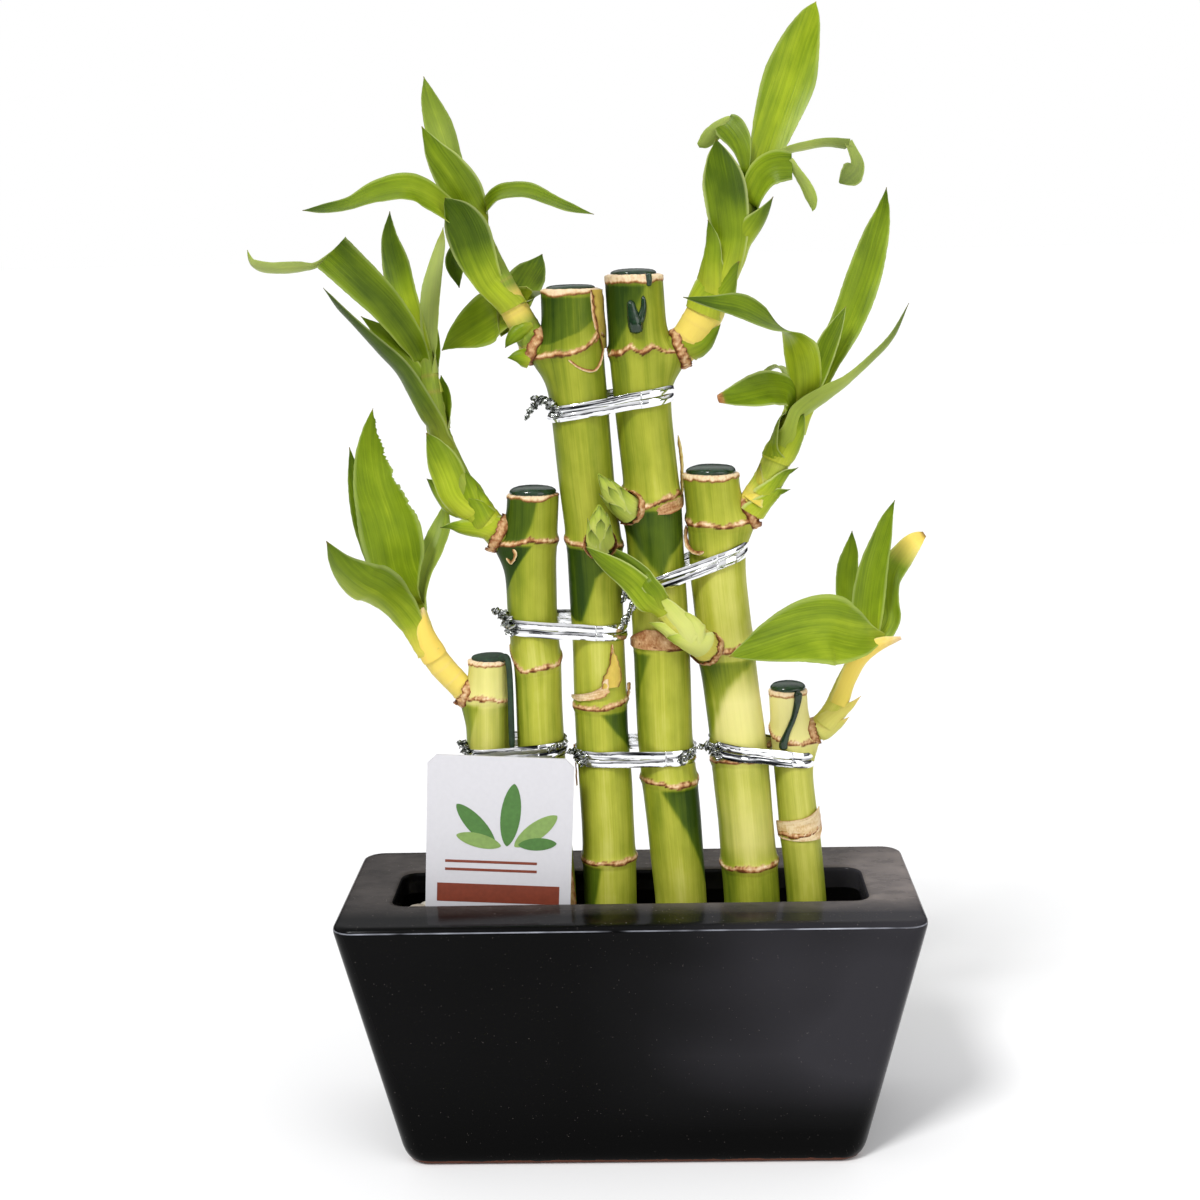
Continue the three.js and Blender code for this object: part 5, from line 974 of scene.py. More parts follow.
def bud(piece, stations, seed):
    """Pointed bud wrapped in long scales, the outer ones lowest."""
    fleshy_stem(piece, stations, seed, BUD_TONE, BUD_YELLOW)
    path = along(stations, BUD_STEPS)
    _, side, face = across(path[:, :3])
    for k, turn in enumerate(SCALE_TURNS):
        aim = math.radians(turn)
        out = side * math.cos(aim) + face * math.sin(aim)
        rows = []
        for share, wide in SCALE_OUTLINE:
            p = int((BUD_STEPS - 1) * min(0.08 * k + 0.5 * share, 1))
            reach = path[p, 3] + 0.3 - 0.03 * k + (0.6 if k < 4 else 0.1) * share ** 4
            x, y, z = path[p, :3] + out[p] * reach
            rows.append((x, y, z, (path[p, 3] + 0.2) * wide, -90 - turn))
        blade(piece, rows, stations, 0, seed * 9 + k, SCALE)


# Canes

def cane_at(name, z):
    """Axis x and radius of a cane at heights z."""
    axis = np.array(CANES[name]["axis"])[::-1]
    steps, share = np.array(AXIS_EASE).T
    spread = np.asarray(z, float)[..., None] + steps
    return [(np.interp(spread, axis[:, 1], axis[:, k]) * share).sum(-1) for k in (0, 2)]


def around_axis(x, reach, turn, z):
    """Points at a reach from an upright axis, turned from the front by an angle in radians."""
    return layers(x + reach * np.sin(turn), -reach * np.cos(turn), z)


def line_at(line, turn):
    """Height of a line round a cane at the turns, joined behind through its two ends."""
    line = sorted(line)
    behind = (line[0][1] + line[-1][1]) / 2
    return at_places(turn, [(-180, behind), *line, (180, behind)])[0]


def cane(piece, name, seed):
    """Cane with node rings, cut rim, shoot arms, green shades, painted shading and shadows."""
    spec = CANES[name]
    top = spec["axis"][0][1]
    turn = np.linspace(-180, 180, CANE_SIDES, endpoint=False)
    place = turn / 360 * 2 * math.pi
    levels = np.concatenate([[CANE_FOOT, CANE_FOOT + 0.6, 30, 48], np.arange(52, top - 5, 0.42),
        np.arange(top - 5, top - 0.6, 0.25), top - np.array([0.45, 0.3, 0.15, 0.05, 0])])
    x, radius = cane_at(name, levels)
    z = levels[:, None] + 0 * turn
    r = radius[:, None] * (1 + 0.012 * np.cos(2 * place + seed))
    r = r + 0.12 * noise(np.sin(place) * 1.4 + seed, np.cos(place) * 1.4, z / 12)
    fibres = noise(turn / 5, z / 16, seed)
    r = r + 0.03 * fibres
    for start, end, _ in spec["stubs"]:
        aim = math.degrees(math.atan2(end[0] - start[0], start[1] - end[1]))
        foot_x, foot_r = (float(v) for v in cane_at(name, end[2]))
        reach = math.hypot(end[0] - foot_x, end[1]) - foot_r + 1.2
        gap = z - (end[2] - 2.2)
        off = (turn - aim + 180) % 360 - 180
        r = r + reach * np.exp(-(gap / np.where(gap < 0, 5.5, 4.5)) ** 2 - (off / 38) ** 2)
    # Tones from the left side through the middle to the right side as seen from the front; a middle
    # painted lighter than the sides is painted shading round the cane
    tone = mixed_tone(levels, spec["tones"], np.clip(np.sin(place) * 1.05, -1, 1))
    tone = tone + 0.08 * noise(turn / 9, z / 30, seed + 5)
    # Darker patches: partly painted shadows cast by the shoots, buds and leaves, partly the cane's
    # own darker green
    for edges, change, soft in spec.get("shades", []):
        start, end = (values[:, None] for values in at_places(levels, edges))
        inside = np.minimum(smooth((turn - start) / soft), smooth((end - turn) / soft))
        reach = np.minimum(levels - min(edges)[0], max(edges)[0] - levels)[:, None]
        tone = tone + change * inside * smooth(reach / 0.8 + 0.5)
    cream = at_places(levels, spec.get("cream", [(0, 0)]))[0][:, None] * smooth(tone * 3 - 1.4)
    dry = np.zeros_like(z)
    for index, line in enumerate(spec["rings"]):
        gap = z - line_at(line, turn) - 0.25 * noise(turn / 15, seed, index)
        r = r + 0.4 * np.exp(-(gap / 1.8) ** 2) - 0.15 * np.exp(-((gap + 1.4) / 0.5) ** 2)
        tall = 1.25 + 0.5 * noise(turn / 12, seed + 1, index) + 0.22 * noise(turn / 2.2, seed)
        share = gap / tall
        husk = smooth(share * 6 + 1) * smooth((1 - share) * 5 + 0.5)
        r = r + husk * (0.2 + 0.08 * noise(turn / 5, z * 1.4, seed))
        edge = np.exp(-(share / 0.34) ** 2) + 0.5 * np.exp(-((share - 1) / 0.25) ** 2)
        band = 0.8 + 0.3 * noise(turn / 9, seed + 3, index) + 0.3 * noise(turn / 1.8, z, seed)
        tone = tone + husk * (band - 0.8 * edge - tone)
        dry = np.maximum(dry, husk)
    rim = z - line_at(spec["rim"], turn) - 0.3 * noise(turn / 8, seed + 2)
    cut = smooth(rim / 0.35 + 0.5)
    lip = 0.12 + 0.08 * noise(turn / 4, z * 1.2, seed) + 0.1 * noise(turn / 13, seed)
    r = r + cut * lip * smooth((top - z) / 0.5 + 0.4)
    edge = np.exp(-((rim - 0.1) / 0.35) ** 2)
    bark = 0.98 - 0.8 * edge + 0.15 * noise(turn / 3, z * 1.5, seed)
    tone = tone + cut * (bark - tone)
    dry = np.maximum(dry, cut)
    r = r - 0.8 * smooth(1 - (top - z) / 0.5) ** 2
    r[0] -= 0.6
    rings = around_axis(x[:, None], r, place, z + 0.1 * cut * fibres)
    grain = layers(turn / 180 * math.pi * 6.5, z, seed)
    skin(piece, rings, layers(tone, dry, 0.25 * cream, cream), grain)
    for k, (start, end, size) in enumerate(spec["stubs"]):
        level = float(at_places(end[2], spec["tones"])[1])
        stub(piece, np.array(start, float), np.array(end, float), size, level, seed + k)


def stub(piece, start, end, size, tone, seed):
    """Short arm that carries a shoot, with a papery collar where the shoot leaves it."""
    t = np.linspace(0, 1, 24)[:, None]
    turn = full_turn(48)
    radius = size * (1 - 0.4 * smooth((1 - t) / 0.7)) + 0.06 * noise(turn * 2.5, t * 2, seed)
    rings = circles(start + (end - start) * t, radius, 48)
    skin(piece, rings, (tone, 0, 0, 0), layers(turn * size, t * 8, seed))
    collar(piece, end + unit(end - start) * 0.2, unit(end - start), size, seed)


def collar(piece, centre, out, radius, seed):
    """Ragged dry ring round a stub."""
    _, side, face = across(np.array([centre, centre + out]))
    turn = full_turn(140)[:, None]
    share, lift, tone = np.array(COLLAR).T
    low = -COLLAR_HEIGHT * 0.5 + 0.5 * noise(turn * 2.5, seed)
    high = COLLAR_HEIGHT * 0.35 + 0.5 * noise(turn * 3, seed + 3) + 0.35 * noise(turn * 11, seed)
    up = low + (high - low) * share
    reach = radius + lift + 0.2 * noise(turn * 6, up * 1.2, seed)
    radial = side[0] * np.cos(turn) + face[0] * np.sin(turn)
    rings = centre + radial[:, None] * reach[..., None] + out * up[..., None]
    skin(piece, rings, layers(tone + 0.3 * noise(turn * 8, up * 1.5, seed), 1, 0, 0), loop=True)


def patch(piece, name, edges, seed, tone, dry, yellow):
    """Thin dried scrap on a cane between two edges given as (z, left turn, right turn)."""
    low, high = min(edges)[0], max(edges)[0]
    z = np.linspace(low, high, max(8, int((high - low) / 0.5)))
    left, right = at_places(z, edges)
    left = left + 3 * noise(z * 1.2, seed)
    right = right + 3 * noise(z * 1.2, seed + 4)
    x, radius = (values[:, None] for values in cane_at(name, z))
    z = z[:, None]
    s = np.linspace(0, 1, 9)
    turn = np.radians(left[:, None] + (right - left)[:, None] * s)
    outer = radius + 0.5 + 0.12 * noise(turn * 6, z / 1.5, seed) + 0.25 * np.abs(2 * s - 1) ** 3
    border = np.abs(2 * s - 1) ** 6
    wrinkle = 0.25 * noise(turn * 9 + z / 2, z * 0.7, seed)
    paint = layers(tone + wrinkle - 0.3 * border, dry + (1 - dry) * border, yellow, 0)
    slab(piece, around_axis(x, outer, turn, z), around_axis(x, outer - 0.2, turn, z), paint,
        paint, layers(turn * 7, z, seed))


def on_cane(name, data, lift):
    """Path on a cane through stations that start with their turn and height."""
    x, radius = cane_at(name, data[:, 1])
    return around_axis(x, radius + lift, np.radians(data[:, 0]), data[:, 1])


def curl(piece, name, points, thick, dry, seed):
    """Narrow dried strip that follows a cane's surface at a given lift."""
    data = along(points, 60)
    turn = full_turn(14)
    flat = thick * (0.5 + 0.6 * np.abs(np.cos(turn)))
    crumple = 1 + 0.25 * noise(np.arange(60)[:, None] / 3, turn, seed)
    radius = flat * tapered(60, 3)[:, None] * crumple
    rings = circles(on_cane(name, data, data[:, 2]), radius, 14)
    skin(piece, rings, layers(0.6 + 0.35 * np.cos(turn), dry, 0, 0))


# Wax

def wax_run(piece, name, points):
    """Raised drop of wax that ran down a cane's surface."""
    data = along(points, 50)
    skin(piece, circles(on_cane(name, data, 0.1), data[:, 2] * tapered(50, 4), 20))


def wax_cap(piece, name, height, spread, seed):
    """Dome of wax over a cut top, a little lower and thicker in places round its edge."""
    top = CANES[name]["axis"][0][1]
    x, radius = cane_at(name, top)
    turn = full_turn(72)
    rings = []
    for up, share in WAX_SECTION:
        wave = noise(np.cos(turn) * 1.5 + seed, np.sin(turn) * 1.5, up)
        edge = 1 if up < 0.5 else 1.6 * (1 - up)
        r = radius * spread * share * (1 + 0.03 * wave) - 0.2
        rings.append(around_axis(x, r, turn, top + up * height + 0.25 * edge * wave))
    skin(piece, rings)


def drip(piece, stations):
    """Drop of wax that runs along the stations and ends round."""
    data = along(stations, 50)
    end = np.clip((np.linspace(0, 1, 50) - 0.93) / 0.07, 0, 1)
    cap = np.sqrt(np.clip(1 - end ** 2, 0.02, 1))
    skin(piece, circles(data[:, :3], data[:, 3] * cap, 20))


# Foil ties

def strand(piece, tie, shift, seed):
    """Crinkled foil strip with a wire under its middle, round two canes."""
    left, right, left_z, right_z = tie[:4]
    (lx, lr), (rx, rr) = (
        [float(v) for v in cane_at(n, z)] for n, z in ((left, left_z), (right, right_z)))
    points = []
    for centre, radius, start in ((rx, rr, -90), (lx, lr, 90)):
        for turn in np.radians(np.linspace(start, start + 180, 40)):
            points.append((centre + (radius + 0.35) * math.cos(turn),
                (radius + 0.35) * math.sin(turn), math.cos(turn), math.sin(turn)))
    data = np.array(points)
    run = run_along(np.vstack([data, data[:1]])[:, :2])
    share = np.linspace(0, run[-1], int(run[-1] / STRAND_STEP), endpoint=False)
    data = np.stack([np.interp(share, run, np.append(data[:, k], data[0, k]))
        for k in range(4)], -1)
    out = unit(data[:, 2:])
    z = left_z + (data[:, 0] - lx) / (rx - lx) * (right_z - left_z) + shift
    z = z + 0.12 * noise(share / 6, seed) + 0.9 * smooth((data[:, 1] - 2) / 5)
    rings = []
    for k, (reach, up) in enumerate(STRAND):
        crease = 0.06 * noise(share / 3.5, k * 1.3, seed) + 0.015 * noise(share / 0.9, k, seed)
        rise = up * (1 + 0.07 * noise(share / 3.1, k, seed + 9))
        place = reach + 0.15 + (crease if k < 7 else 0)
        rings.append(layers(data[:, 0] + out[:, 0] * place, data[:, 1] + out[:, 1] * place,
            z + rise))
    heights = np.array([up for _, up in STRAND]) + 1.7 * shift
    grain = layers(heights, share[:, None], seed)
    skin(piece, np.stack(rings, 1), grain=grain, loop=True)


def twist(piece, stations, turns, seed):
    """Two foil strips twisted together; stations are (x, y, z, half width)."""
    data = along(stations, TWIST_STEPS)
    t = np.linspace(0, 1, TWIST_STEPS)[:, None]
    ring = full_turn(TWIST_SIDES)
    flat = 0.35 + 0.65 * np.abs(np.cos(ring)) ** 1.5
    radius = data[:, 3:] * flat * (1 + 0.3 * noise(t * TWIST_STEPS / 2.5, ring, seed))
    rings = circles(data[:, :3], radius, TWIST_SIDES, 2 * math.pi * turns * t)
    # The second painted channel marks the twist for the foil's painted shade in its folds
    skin(piece, rings, (0.5, 1, 0, 0), layers(ring * 2, t * 12, seed))


def tie_piece(name, seed):
    """Tie of two strands round two canes, with its twisted ends."""
    spec = TIES[name]
    piece = Piece()
    for sign in (-1, 1):
        strand(piece, spec, sign * STRAND_SPACING / 2, seed + sign)
    left_x, left_r = (float(v) for v in cane_at(spec[0], spec[2]))
    out = (left_r + 0.8) * math.sqrt(0.5)
    x = left_x - out
    tail, thick = spec[4:]
    foot = (x + 0.6, -out - 0.2, spec[2] - 1.6, 0.9 * thick)
    bend = (x - 0.6, -out - 0.8, spec[2] + 0.8, 1.3 * thick)
    middle = ((x + tail[0]) / 2, (tail[1] - out) / 2, (spec[2] + tail[2]) / 2 + 1.2, 1.1 * thick)
    twist(piece, [foot, bend, middle, (*tail, 0.45 * thick)], TAIL_TURNS, seed)
    if name in TWISTS:
        twist(piece, TWISTS[name], TWIST_TURNS, seed + 20)
    return piece


# Card

def flat_shape(piece, outline, front, back, finish):
    """Closed flat body over an outline in the card's plane."""
    rings = np.array([[(x, y, z) for x, z in outline] for y in (back, front)], float)
    turn = math.radians(CARD_LEAN)
    x = rings[..., 0] * math.cos(turn) + rings[..., 2] * math.sin(turn)
    z = rings[..., 2] * math.cos(turn) - rings[..., 0] * math.sin(turn)
    skin(piece, layers(x, rings[..., 1], z) + CARD_FOOT, finish=finish)


def leaf_outline(x, z, length, width, turn):
    """Pointed oval that starts at (x, z) and is turned by an angle in radians."""
    t = np.linspace(0, math.pi, 16)
    sides = [(s * width * math.sin(a) ** 1.3, length * (1 - math.cos(a)) / 2)
        for s, angles in ((1, t), (-1, t[-2:0:-1])) for a in angles]
    c, s = math.cos(turn), math.sin(turn)
    return [(x + u * c + v * s, z - u * s + v * c) for u, v in sides]


def card(piece):
    """Plain card with a motif of leaves, two thin lines and a bar."""
    width, height, thickness, corner = CARD
    half = width / 2
    front, back = PRINT
    outline = [(-half, 0), (half, 0), (half, height - corner), (half - corner, height),
        (corner - half, height), (-half, height - corner)]
    flat_shape(piece, outline, 0, thickness, 0)
    for left, right, z, tall in CARD_BARS:
        bar = [(left - half, z), (half - right, z), (half - right, z + tall),
            (left - half, z + tall)]
        flat_shape(piece, bar, front, back, 1)
    for x, z, length, wide, turn, finish in CARD_LEAVES:
        outline = leaf_outline(x, z, length, wide, turn)
        flat_shape(piece, outline, front - 0.012 * abs(turn), back, finish)


# Planter and pebbles

def rounded(length, depth, corner, z):
    """Ring of points round a rectangle with rounded corners."""
    points = []
    half_x, half_y = length / 2 - corner, depth / 2 - corner
    corners = ((half_x, half_y, 0), (-half_x, half_y, 90), (-half_x, -half_y, 180),
        (half_x, -half_y, 270))
    for index, (x, y, start) in enumerate(corners):
        for turn in np.radians(np.linspace(start, start + 90, CORNER_STEPS + 1)):
            points.append((x + corner * math.cos(turn), y + corner * math.sin(turn), z))
        following = corners[(index + 1) % 4]
        end = points[-1]
        turn = math.radians(start + 90)
        target = (following[0] + corner * math.cos(turn), following[1] + corner * math.sin(turn))
        for share in np.linspace(0, 1, EDGE_STEPS + 1)[1:-1]:
            points.append((end[0] + (target[0] - end[0]) * share,
                end[1] + (target[1] - end[1]) * share, z))
    return points


def pot_ring(z, inset):
    """Ring on the planter's side at a height, moved inward."""
    t = z / POT_HEIGHT
    length, depth, corner = (a + (b - a) * t for a, b in zip(POT_BASE, POT_TOP))
    return rounded(length - 2 * inset, depth - 2 * inset, max(corner - inset * 0.4, 0.6), z)


def slot_ring(z, outset):
    """Ring on the slot's edge at a height, moved outward."""
    length, depth, corner = SLOT
    return rounded(length + 2 * outset, depth + 2 * outset, corner + outset, z)


def planter(piece):
    """Hollow planter, from its foot over the rim and the slot to the floor inside."""
    under_plate = POT_HEIGHT - POT_PLATE
    rings = [pot_ring(z, inset) for z, inset in FOOT_EDGE]
    rings += [pot_ring(z, 0) for z in SIDE_LEVELS]
    rings += [pot_ring(POT_HEIGHT - down, inset) for down, inset in RIM_EDGE]
    rings += [slot_ring(POT_HEIGHT - down, outset * SLOT_LIP) for down, outset in LIP_EDGE]
    rings += [pot_ring(under_plate, POT_WALL + 1), pot_ring(under_plate - 1, POT_WALL),
        pot_ring(POT_WALL + 1, POT_WALL), pot_ring(POT_WALL, POT_WALL + 1.5)]
    skin(piece, rings)


def pebble(piece, x, y, z, radii, turn, seed):
    """Rounded stone with three radii, turned round the upright axis."""
    levels = np.radians(np.linspace(-90, 90, 14))[1:-1, None]
    around = full_turn(22)
    bumps = noise(np.cos(around) * np.cos(levels) * 1.3 + seed,
        np.sin(around) * np.cos(levels) * 1.3, np.sin(levels) * 1.3)
    grow = 1 + 0.13 * bumps
    u = radii[0] * np.cos(levels) * np.cos(around) * grow
    v = radii[1] * np.cos(levels) * np.sin(around) * grow
    w = radii[2] * np.sin(levels) * grow
    rings = layers(x + u * math.cos(turn) - v * math.sin(turn),
        y + u * math.sin(turn) + v * math.cos(turn), z + w)
    tone = 0.5 + 0.5 * float(hashed(np.array([seed]), np.array([3]), np.array([1]))[0])
    skin(piece, rings, (tone, 0, 0, 0))


def pebbles(piece):
    """Hidden core of the bed, and two layers of loose pebbles over it."""
    skin(piece, [pot_ring(POT_WALL + 0.3, POT_WALL + 0.5), pot_ring(CORE_TOP, POT_WALL + 0.3)])
    columns, x_step, first_x = PEBBLE_COLUMNS
    rows, y_step, first_y = PEBBLE_ROWS
    count = 0
    for layer, depth in enumerate(PEBBLE_DEPTHS):
        for i in range(columns):
            for j in range(rows):
                count += 1
                one = np.array([count])
                jitter = [float(hashed(one, one * 7 + k, one * 0)[0]) for k in range(6)]
                x = first_x + i * x_step + PEBBLE_JITTER[0] * jitter[0] + LAYER_SHIFT * layer
                y = first_y + j * y_step + PEBBLE_JITTER[1] * jitter[1]
                if abs(x) > PEBBLE_AREA[0] or abs(y) > PEBBLE_AREA[1]:
                    continue
                radii = [mean + spread * jitter[2 + k]
                    for k, (mean, spread) in enumerate(PEBBLE_RADII)]
                z = float(at_places(x, BED_RISE)[0]) - depth + PEBBLE_JITTER[2] * jitter[5]
                pebble(piece, x, y, z, radii, jitter[3] * 3, count)


# Finishes

class Nodes:
    """Node tree that is built in short steps."""

    def __init__(self, tree, shader):
        self.tree = tree
        self.shader = tree.nodes[shader]

    def put(self, socket, value):
        """Link a socket to another one, or set its value."""
        if isinstance(value, bpy.types.NodeSocket):
            self.tree.links.new(value, socket)
        else:
            socket.default_value = value

    def node(self, kind, inputs, **settings):
        """New node with its settings and with its inputs linked or set."""
        node = self.tree.nodes.new("ShaderNode" + kind)
        for setting, value in settings.items():
            setattr(node, setting, value)
        for socket, value in inputs.items():
            self.put(node.inputs[socket], value)
        return node

    def ramp(self, value, stops):
        node = self.node("ValToRGB", {0: value})
        while len(node.color_ramp.elements) < len(stops):
            node.color_ramp.elements.new(0.5)
        for element, (place, colour) in zip(node.color_ramp.elements, stops):
            element.position = place
            element.color = colour
        return node.outputs[0]

    def mix(self, factor, a, b):
        return self.node("Mix", {0: factor, 6: a, 7: b}, data_type="RGBA").outputs[2]


class Look(Nodes):
    """Material; its values are given by the names of the shader's sockets."""

    def __init__(self, name, **values):
        self.material = bpy.data.materials.new(name)
        self.material.use_nodes = True
        super().__init__(self.material.node_tree, "Principled BSDF")
        for socket, value in values.items():
            self.put(self.shader.inputs[socket.replace("_", " ")], value)

    def paint(self):
        """Outputs of the painted channels: tone, dry, yellow and pale."""
        source = self.node("Attribute", {}, attribute_name="paint")
        parts = self.node("SeparateColor", {0: source.outputs["Color"]})
        return [*parts.outputs[:3], source.outputs["Alpha"]]

    def grain(self, scale):
        """Place on the surface in millimetres, with one scale or one for each axis."""
        place = self.node("Attribute", {}, attribute_name="grain").outputs["Vector"]
        scale = scale if isinstance(scale, tuple) else (scale, scale, scale)
        return self.node("VectorMath", {0: place, 1: scale}, operation="MULTIPLY").outputs[0]

    def noise(self, scale, detail=3.0, rough=0.5):
        inputs = {"Vector": self.grain(scale), "Scale": 1, "Detail": detail, "Roughness": rough}
        return self.node("TexNoise", inputs).outputs[0]

    def math(self, operation, a, b=0.0, c=0.0, clamp=False):
        inputs = {0: a, 1: b, 2: c}
        return self.node("Math", inputs, operation=operation, use_clamp=clamp).outputs[0]

    def times(self, a, b):
        return self.math("MULTIPLY", a, b)

    def scaled(self, value, factor, plus, clamp=False):
        return self.math("MULTIPLY_ADD", value, factor, plus, clamp)

    def bump(self, height, distance, strength=1.0):
        inputs = {"Height": height, "Distance": distance * MM, "Strength": strength}
        self.put(self.shader.inputs["Normal"], self.node("Bump", inputs).outputs[0])

    def colour(self, value):
        self.put(self.shader.inputs["Base Color"], value)


def leaf_look(name, shades, faded, roughness, streak):
    """Green plant skin with lengthwise veins, dry and yellow parts and pale margins."""
    look = Look(name, Roughness=roughness, Specular_IOR_Level=0.13, Subsurface_Weight=0.1,
        Subsurface_Scale=1 * MM, Subsurface_Radius=(0.6, 1, 0.2))
    painted, dry, yellow, pale = look.paint()
    veins = look.noise((3.2, 0.05, 7.3), 2)
    bands = look.noise((0.9, 0.03, 3.1), 2)
    clouds = look.noise((0.25, 0.12, 1.7))
    tone = painted
    for part, share in ((veins, streak), (bands, streak * 0.8), (clouds, 0.3)):
        tone = look.math("ADD", tone, look.scaled(part, share, -0.5 * share))
    colour = look.ramp(tone, [(place, srgb(*rgb)) for place, rgb in shades])
    colour = look.mix(yellow, colour, srgb(236, 206, 96))
    colour = look.mix(pale, colour, srgb(*faded))
    ragged = look.noise((1.6, 0.9, 1), 4, 0.65)
    bark = look.math("ADD", look.scaled(ragged, 0.8, -0.4), painted)
    brown = look.ramp(bark, [(place, srgb(*rgb)) for place, rgb in BARK_SHADES])
    look.colour(look.mix(dry, colour, brown))
    look.bump(look.math("ADD", veins, look.times(bands, 0.6)), 0.12, 0.5)
    return look.material


def glaze_look():
    """Black glaze, with a painted reflection that makes it paler to one side and a painted
    highlight along its front top edge, bare clay at the foot, and dust settled on the rim.
    """
    look = Look("black glaze", Specular_IOR_Level=0.06)
    x, y, height = look.node("SeparateXYZ", {0: look.grain(1)}).outputs
    # Painted reflection: the glaze is painted paler to the right and towards the top, in soft
    # clouds
    cloud = look.noise((0.014, 0.02, 0.02), 2)
    aside = look.math("MAXIMUM", look.scaled(x, 0.0085, 0.2), 0.08)
    raised = look.scaled(height, 0.045, -0.4, clamp=True)
    shade = look.times(look.times(aside, raised), cloud)
    colour = look.ramp(shade, [(0, srgb(2, 2, 2)), (0.1, srgb(15, 15, 16)),
        (0.32, srgb(46, 45, 49))])
    bare = look.math("LESS_THAN", look.scaled(look.noise(0.4), 1.2, height), 1.9)
    colour = look.mix(bare, colour, srgb(96, 60, 48))
    # Painted highlight: a thin pale line along the front top edge only, broken in places by noise
    highlight_line = look.times(look.math("COMPARE", height, POT_HEIGHT - 1.3, 0.16),
        look.math("LESS_THAN", y, -28))
    highlight_breaks = look.scaled(look.noise((0.08, 0.3, 0.1), 2), 2.4, -0.8, clamp=True)
    colour = look.mix(look.times(highlight_line, highlight_breaks), colour, srgb(172, 175, 186))
    behind = look.scaled(y, 0.08, 1.9, clamp=True)
    rim = look.math("GREATER_THAN", height, POT_HEIGHT - 0.5)
    amount = look.scaled(x, 0.0014, 0.2)
    patchy = look.scaled(look.noise((0.1, 0.16, 0.1), 5, 0.6), 1.8, -0.05)
    specks = look.math("GREATER_THAN", look.noise(1.9, 1), 0.77)
    settled = look.times(look.times(behind, rim), look.times(amount, patchy))
    dust = look.math("MAXIMUM", settled, look.times(specks, look.scaled(rim, 0.3, 0.1)))
    look.colour(look.mix(dust, colour, srgb(190, 178, 172)))
    rough = look.math("MAXIMUM", look.times(bare, 0.76), look.times(dust, 1.2))
    look.put(look.shader.inputs["Roughness"], look.math("MAXIMUM", rough, 0.16))
    look.bump(look.noise(0.35, 2), 0.06, 0.4)
    return look.material


def plain_look(name, colour, roughness, shade=0.82):
    look = Look(name, Roughness=roughness)
    darker = tuple(c * shade for c in colour[:3]) + (1,)
    look.colour(look.ramp(look.noise(0.9), [(0.3, darker), (0.7, colour)]))
    return look.material


def pebble_look():
    look = Look("pale pebbles", Roughness=0.55)
    mixed = look.math("ADD", look.paint()[0], look.scaled(look.noise(0.5, 4), 0.5, -0.25))
    look.colour(look.ramp(mixed, [(0.1, srgb(150, 140, 125)), (0.5, srgb(205, 198, 186)),
        (0.9, srgb(232, 228, 218))]))
    look.bump(look.noise(2), 0.08, 0.5)
    return look.material


def wax_look(name, roughness):
    look = Look(name, Roughness=roughness, Subsurface_Weight=0.1, Subsurface_Scale=1 * MM)
    shades = [(0.3, srgb(19, 38, 24)), (0.75, srgb(36, 62, 38))]
    look.colour(look.ramp(look.noise(0.6), shades))
    look.bump(look.noise(0.8, 2), 0.15, 0.5 if roughness < 0.5 else 1)
    return look.material


def foil_look():
    """Bright crinkled foil with painted dark reflections in streaks, and painted shade that makes
    its folds darker where it is painted as twisted.
    """
    look = Look("silver foil", Metallic=1.0, Roughness=0.12)
    # Painted dark reflections: the foil's colour runs in dark and bright streaks along each strand
    colour = look.ramp(look.noise((1.1, 0.05, 1.3), 2), [(0.33, srgb(30, 32, 34)),
        (0.38, srgb(130, 132, 136)), (0.43, srgb(242, 243, 245)), (1.0, srgb(253, 253, 254))])
    # Painted shade: the twisted ends are painted darker in their folds
    dark = look.ramp(look.noise((0.7, 0.7, 1), 2), [(0.42, srgb(40, 48, 36)),
        (0.55, srgb(190, 192, 190))])
    look.colour(look.mix(look.paint()[1], colour, dark))
    look.bump(look.noise((1.2, 0.25, 1.4), 2), 0.15, 0.6)
    return look.material


# Scene

def leaf_style(name, changes):
    """Style of a leaf by the last word of its name, with its own changes."""
    word = name.rstrip("_0123456789").split("_")[-1]
    return {**LEAF_KINDS.get(word, LEAF), **changes}


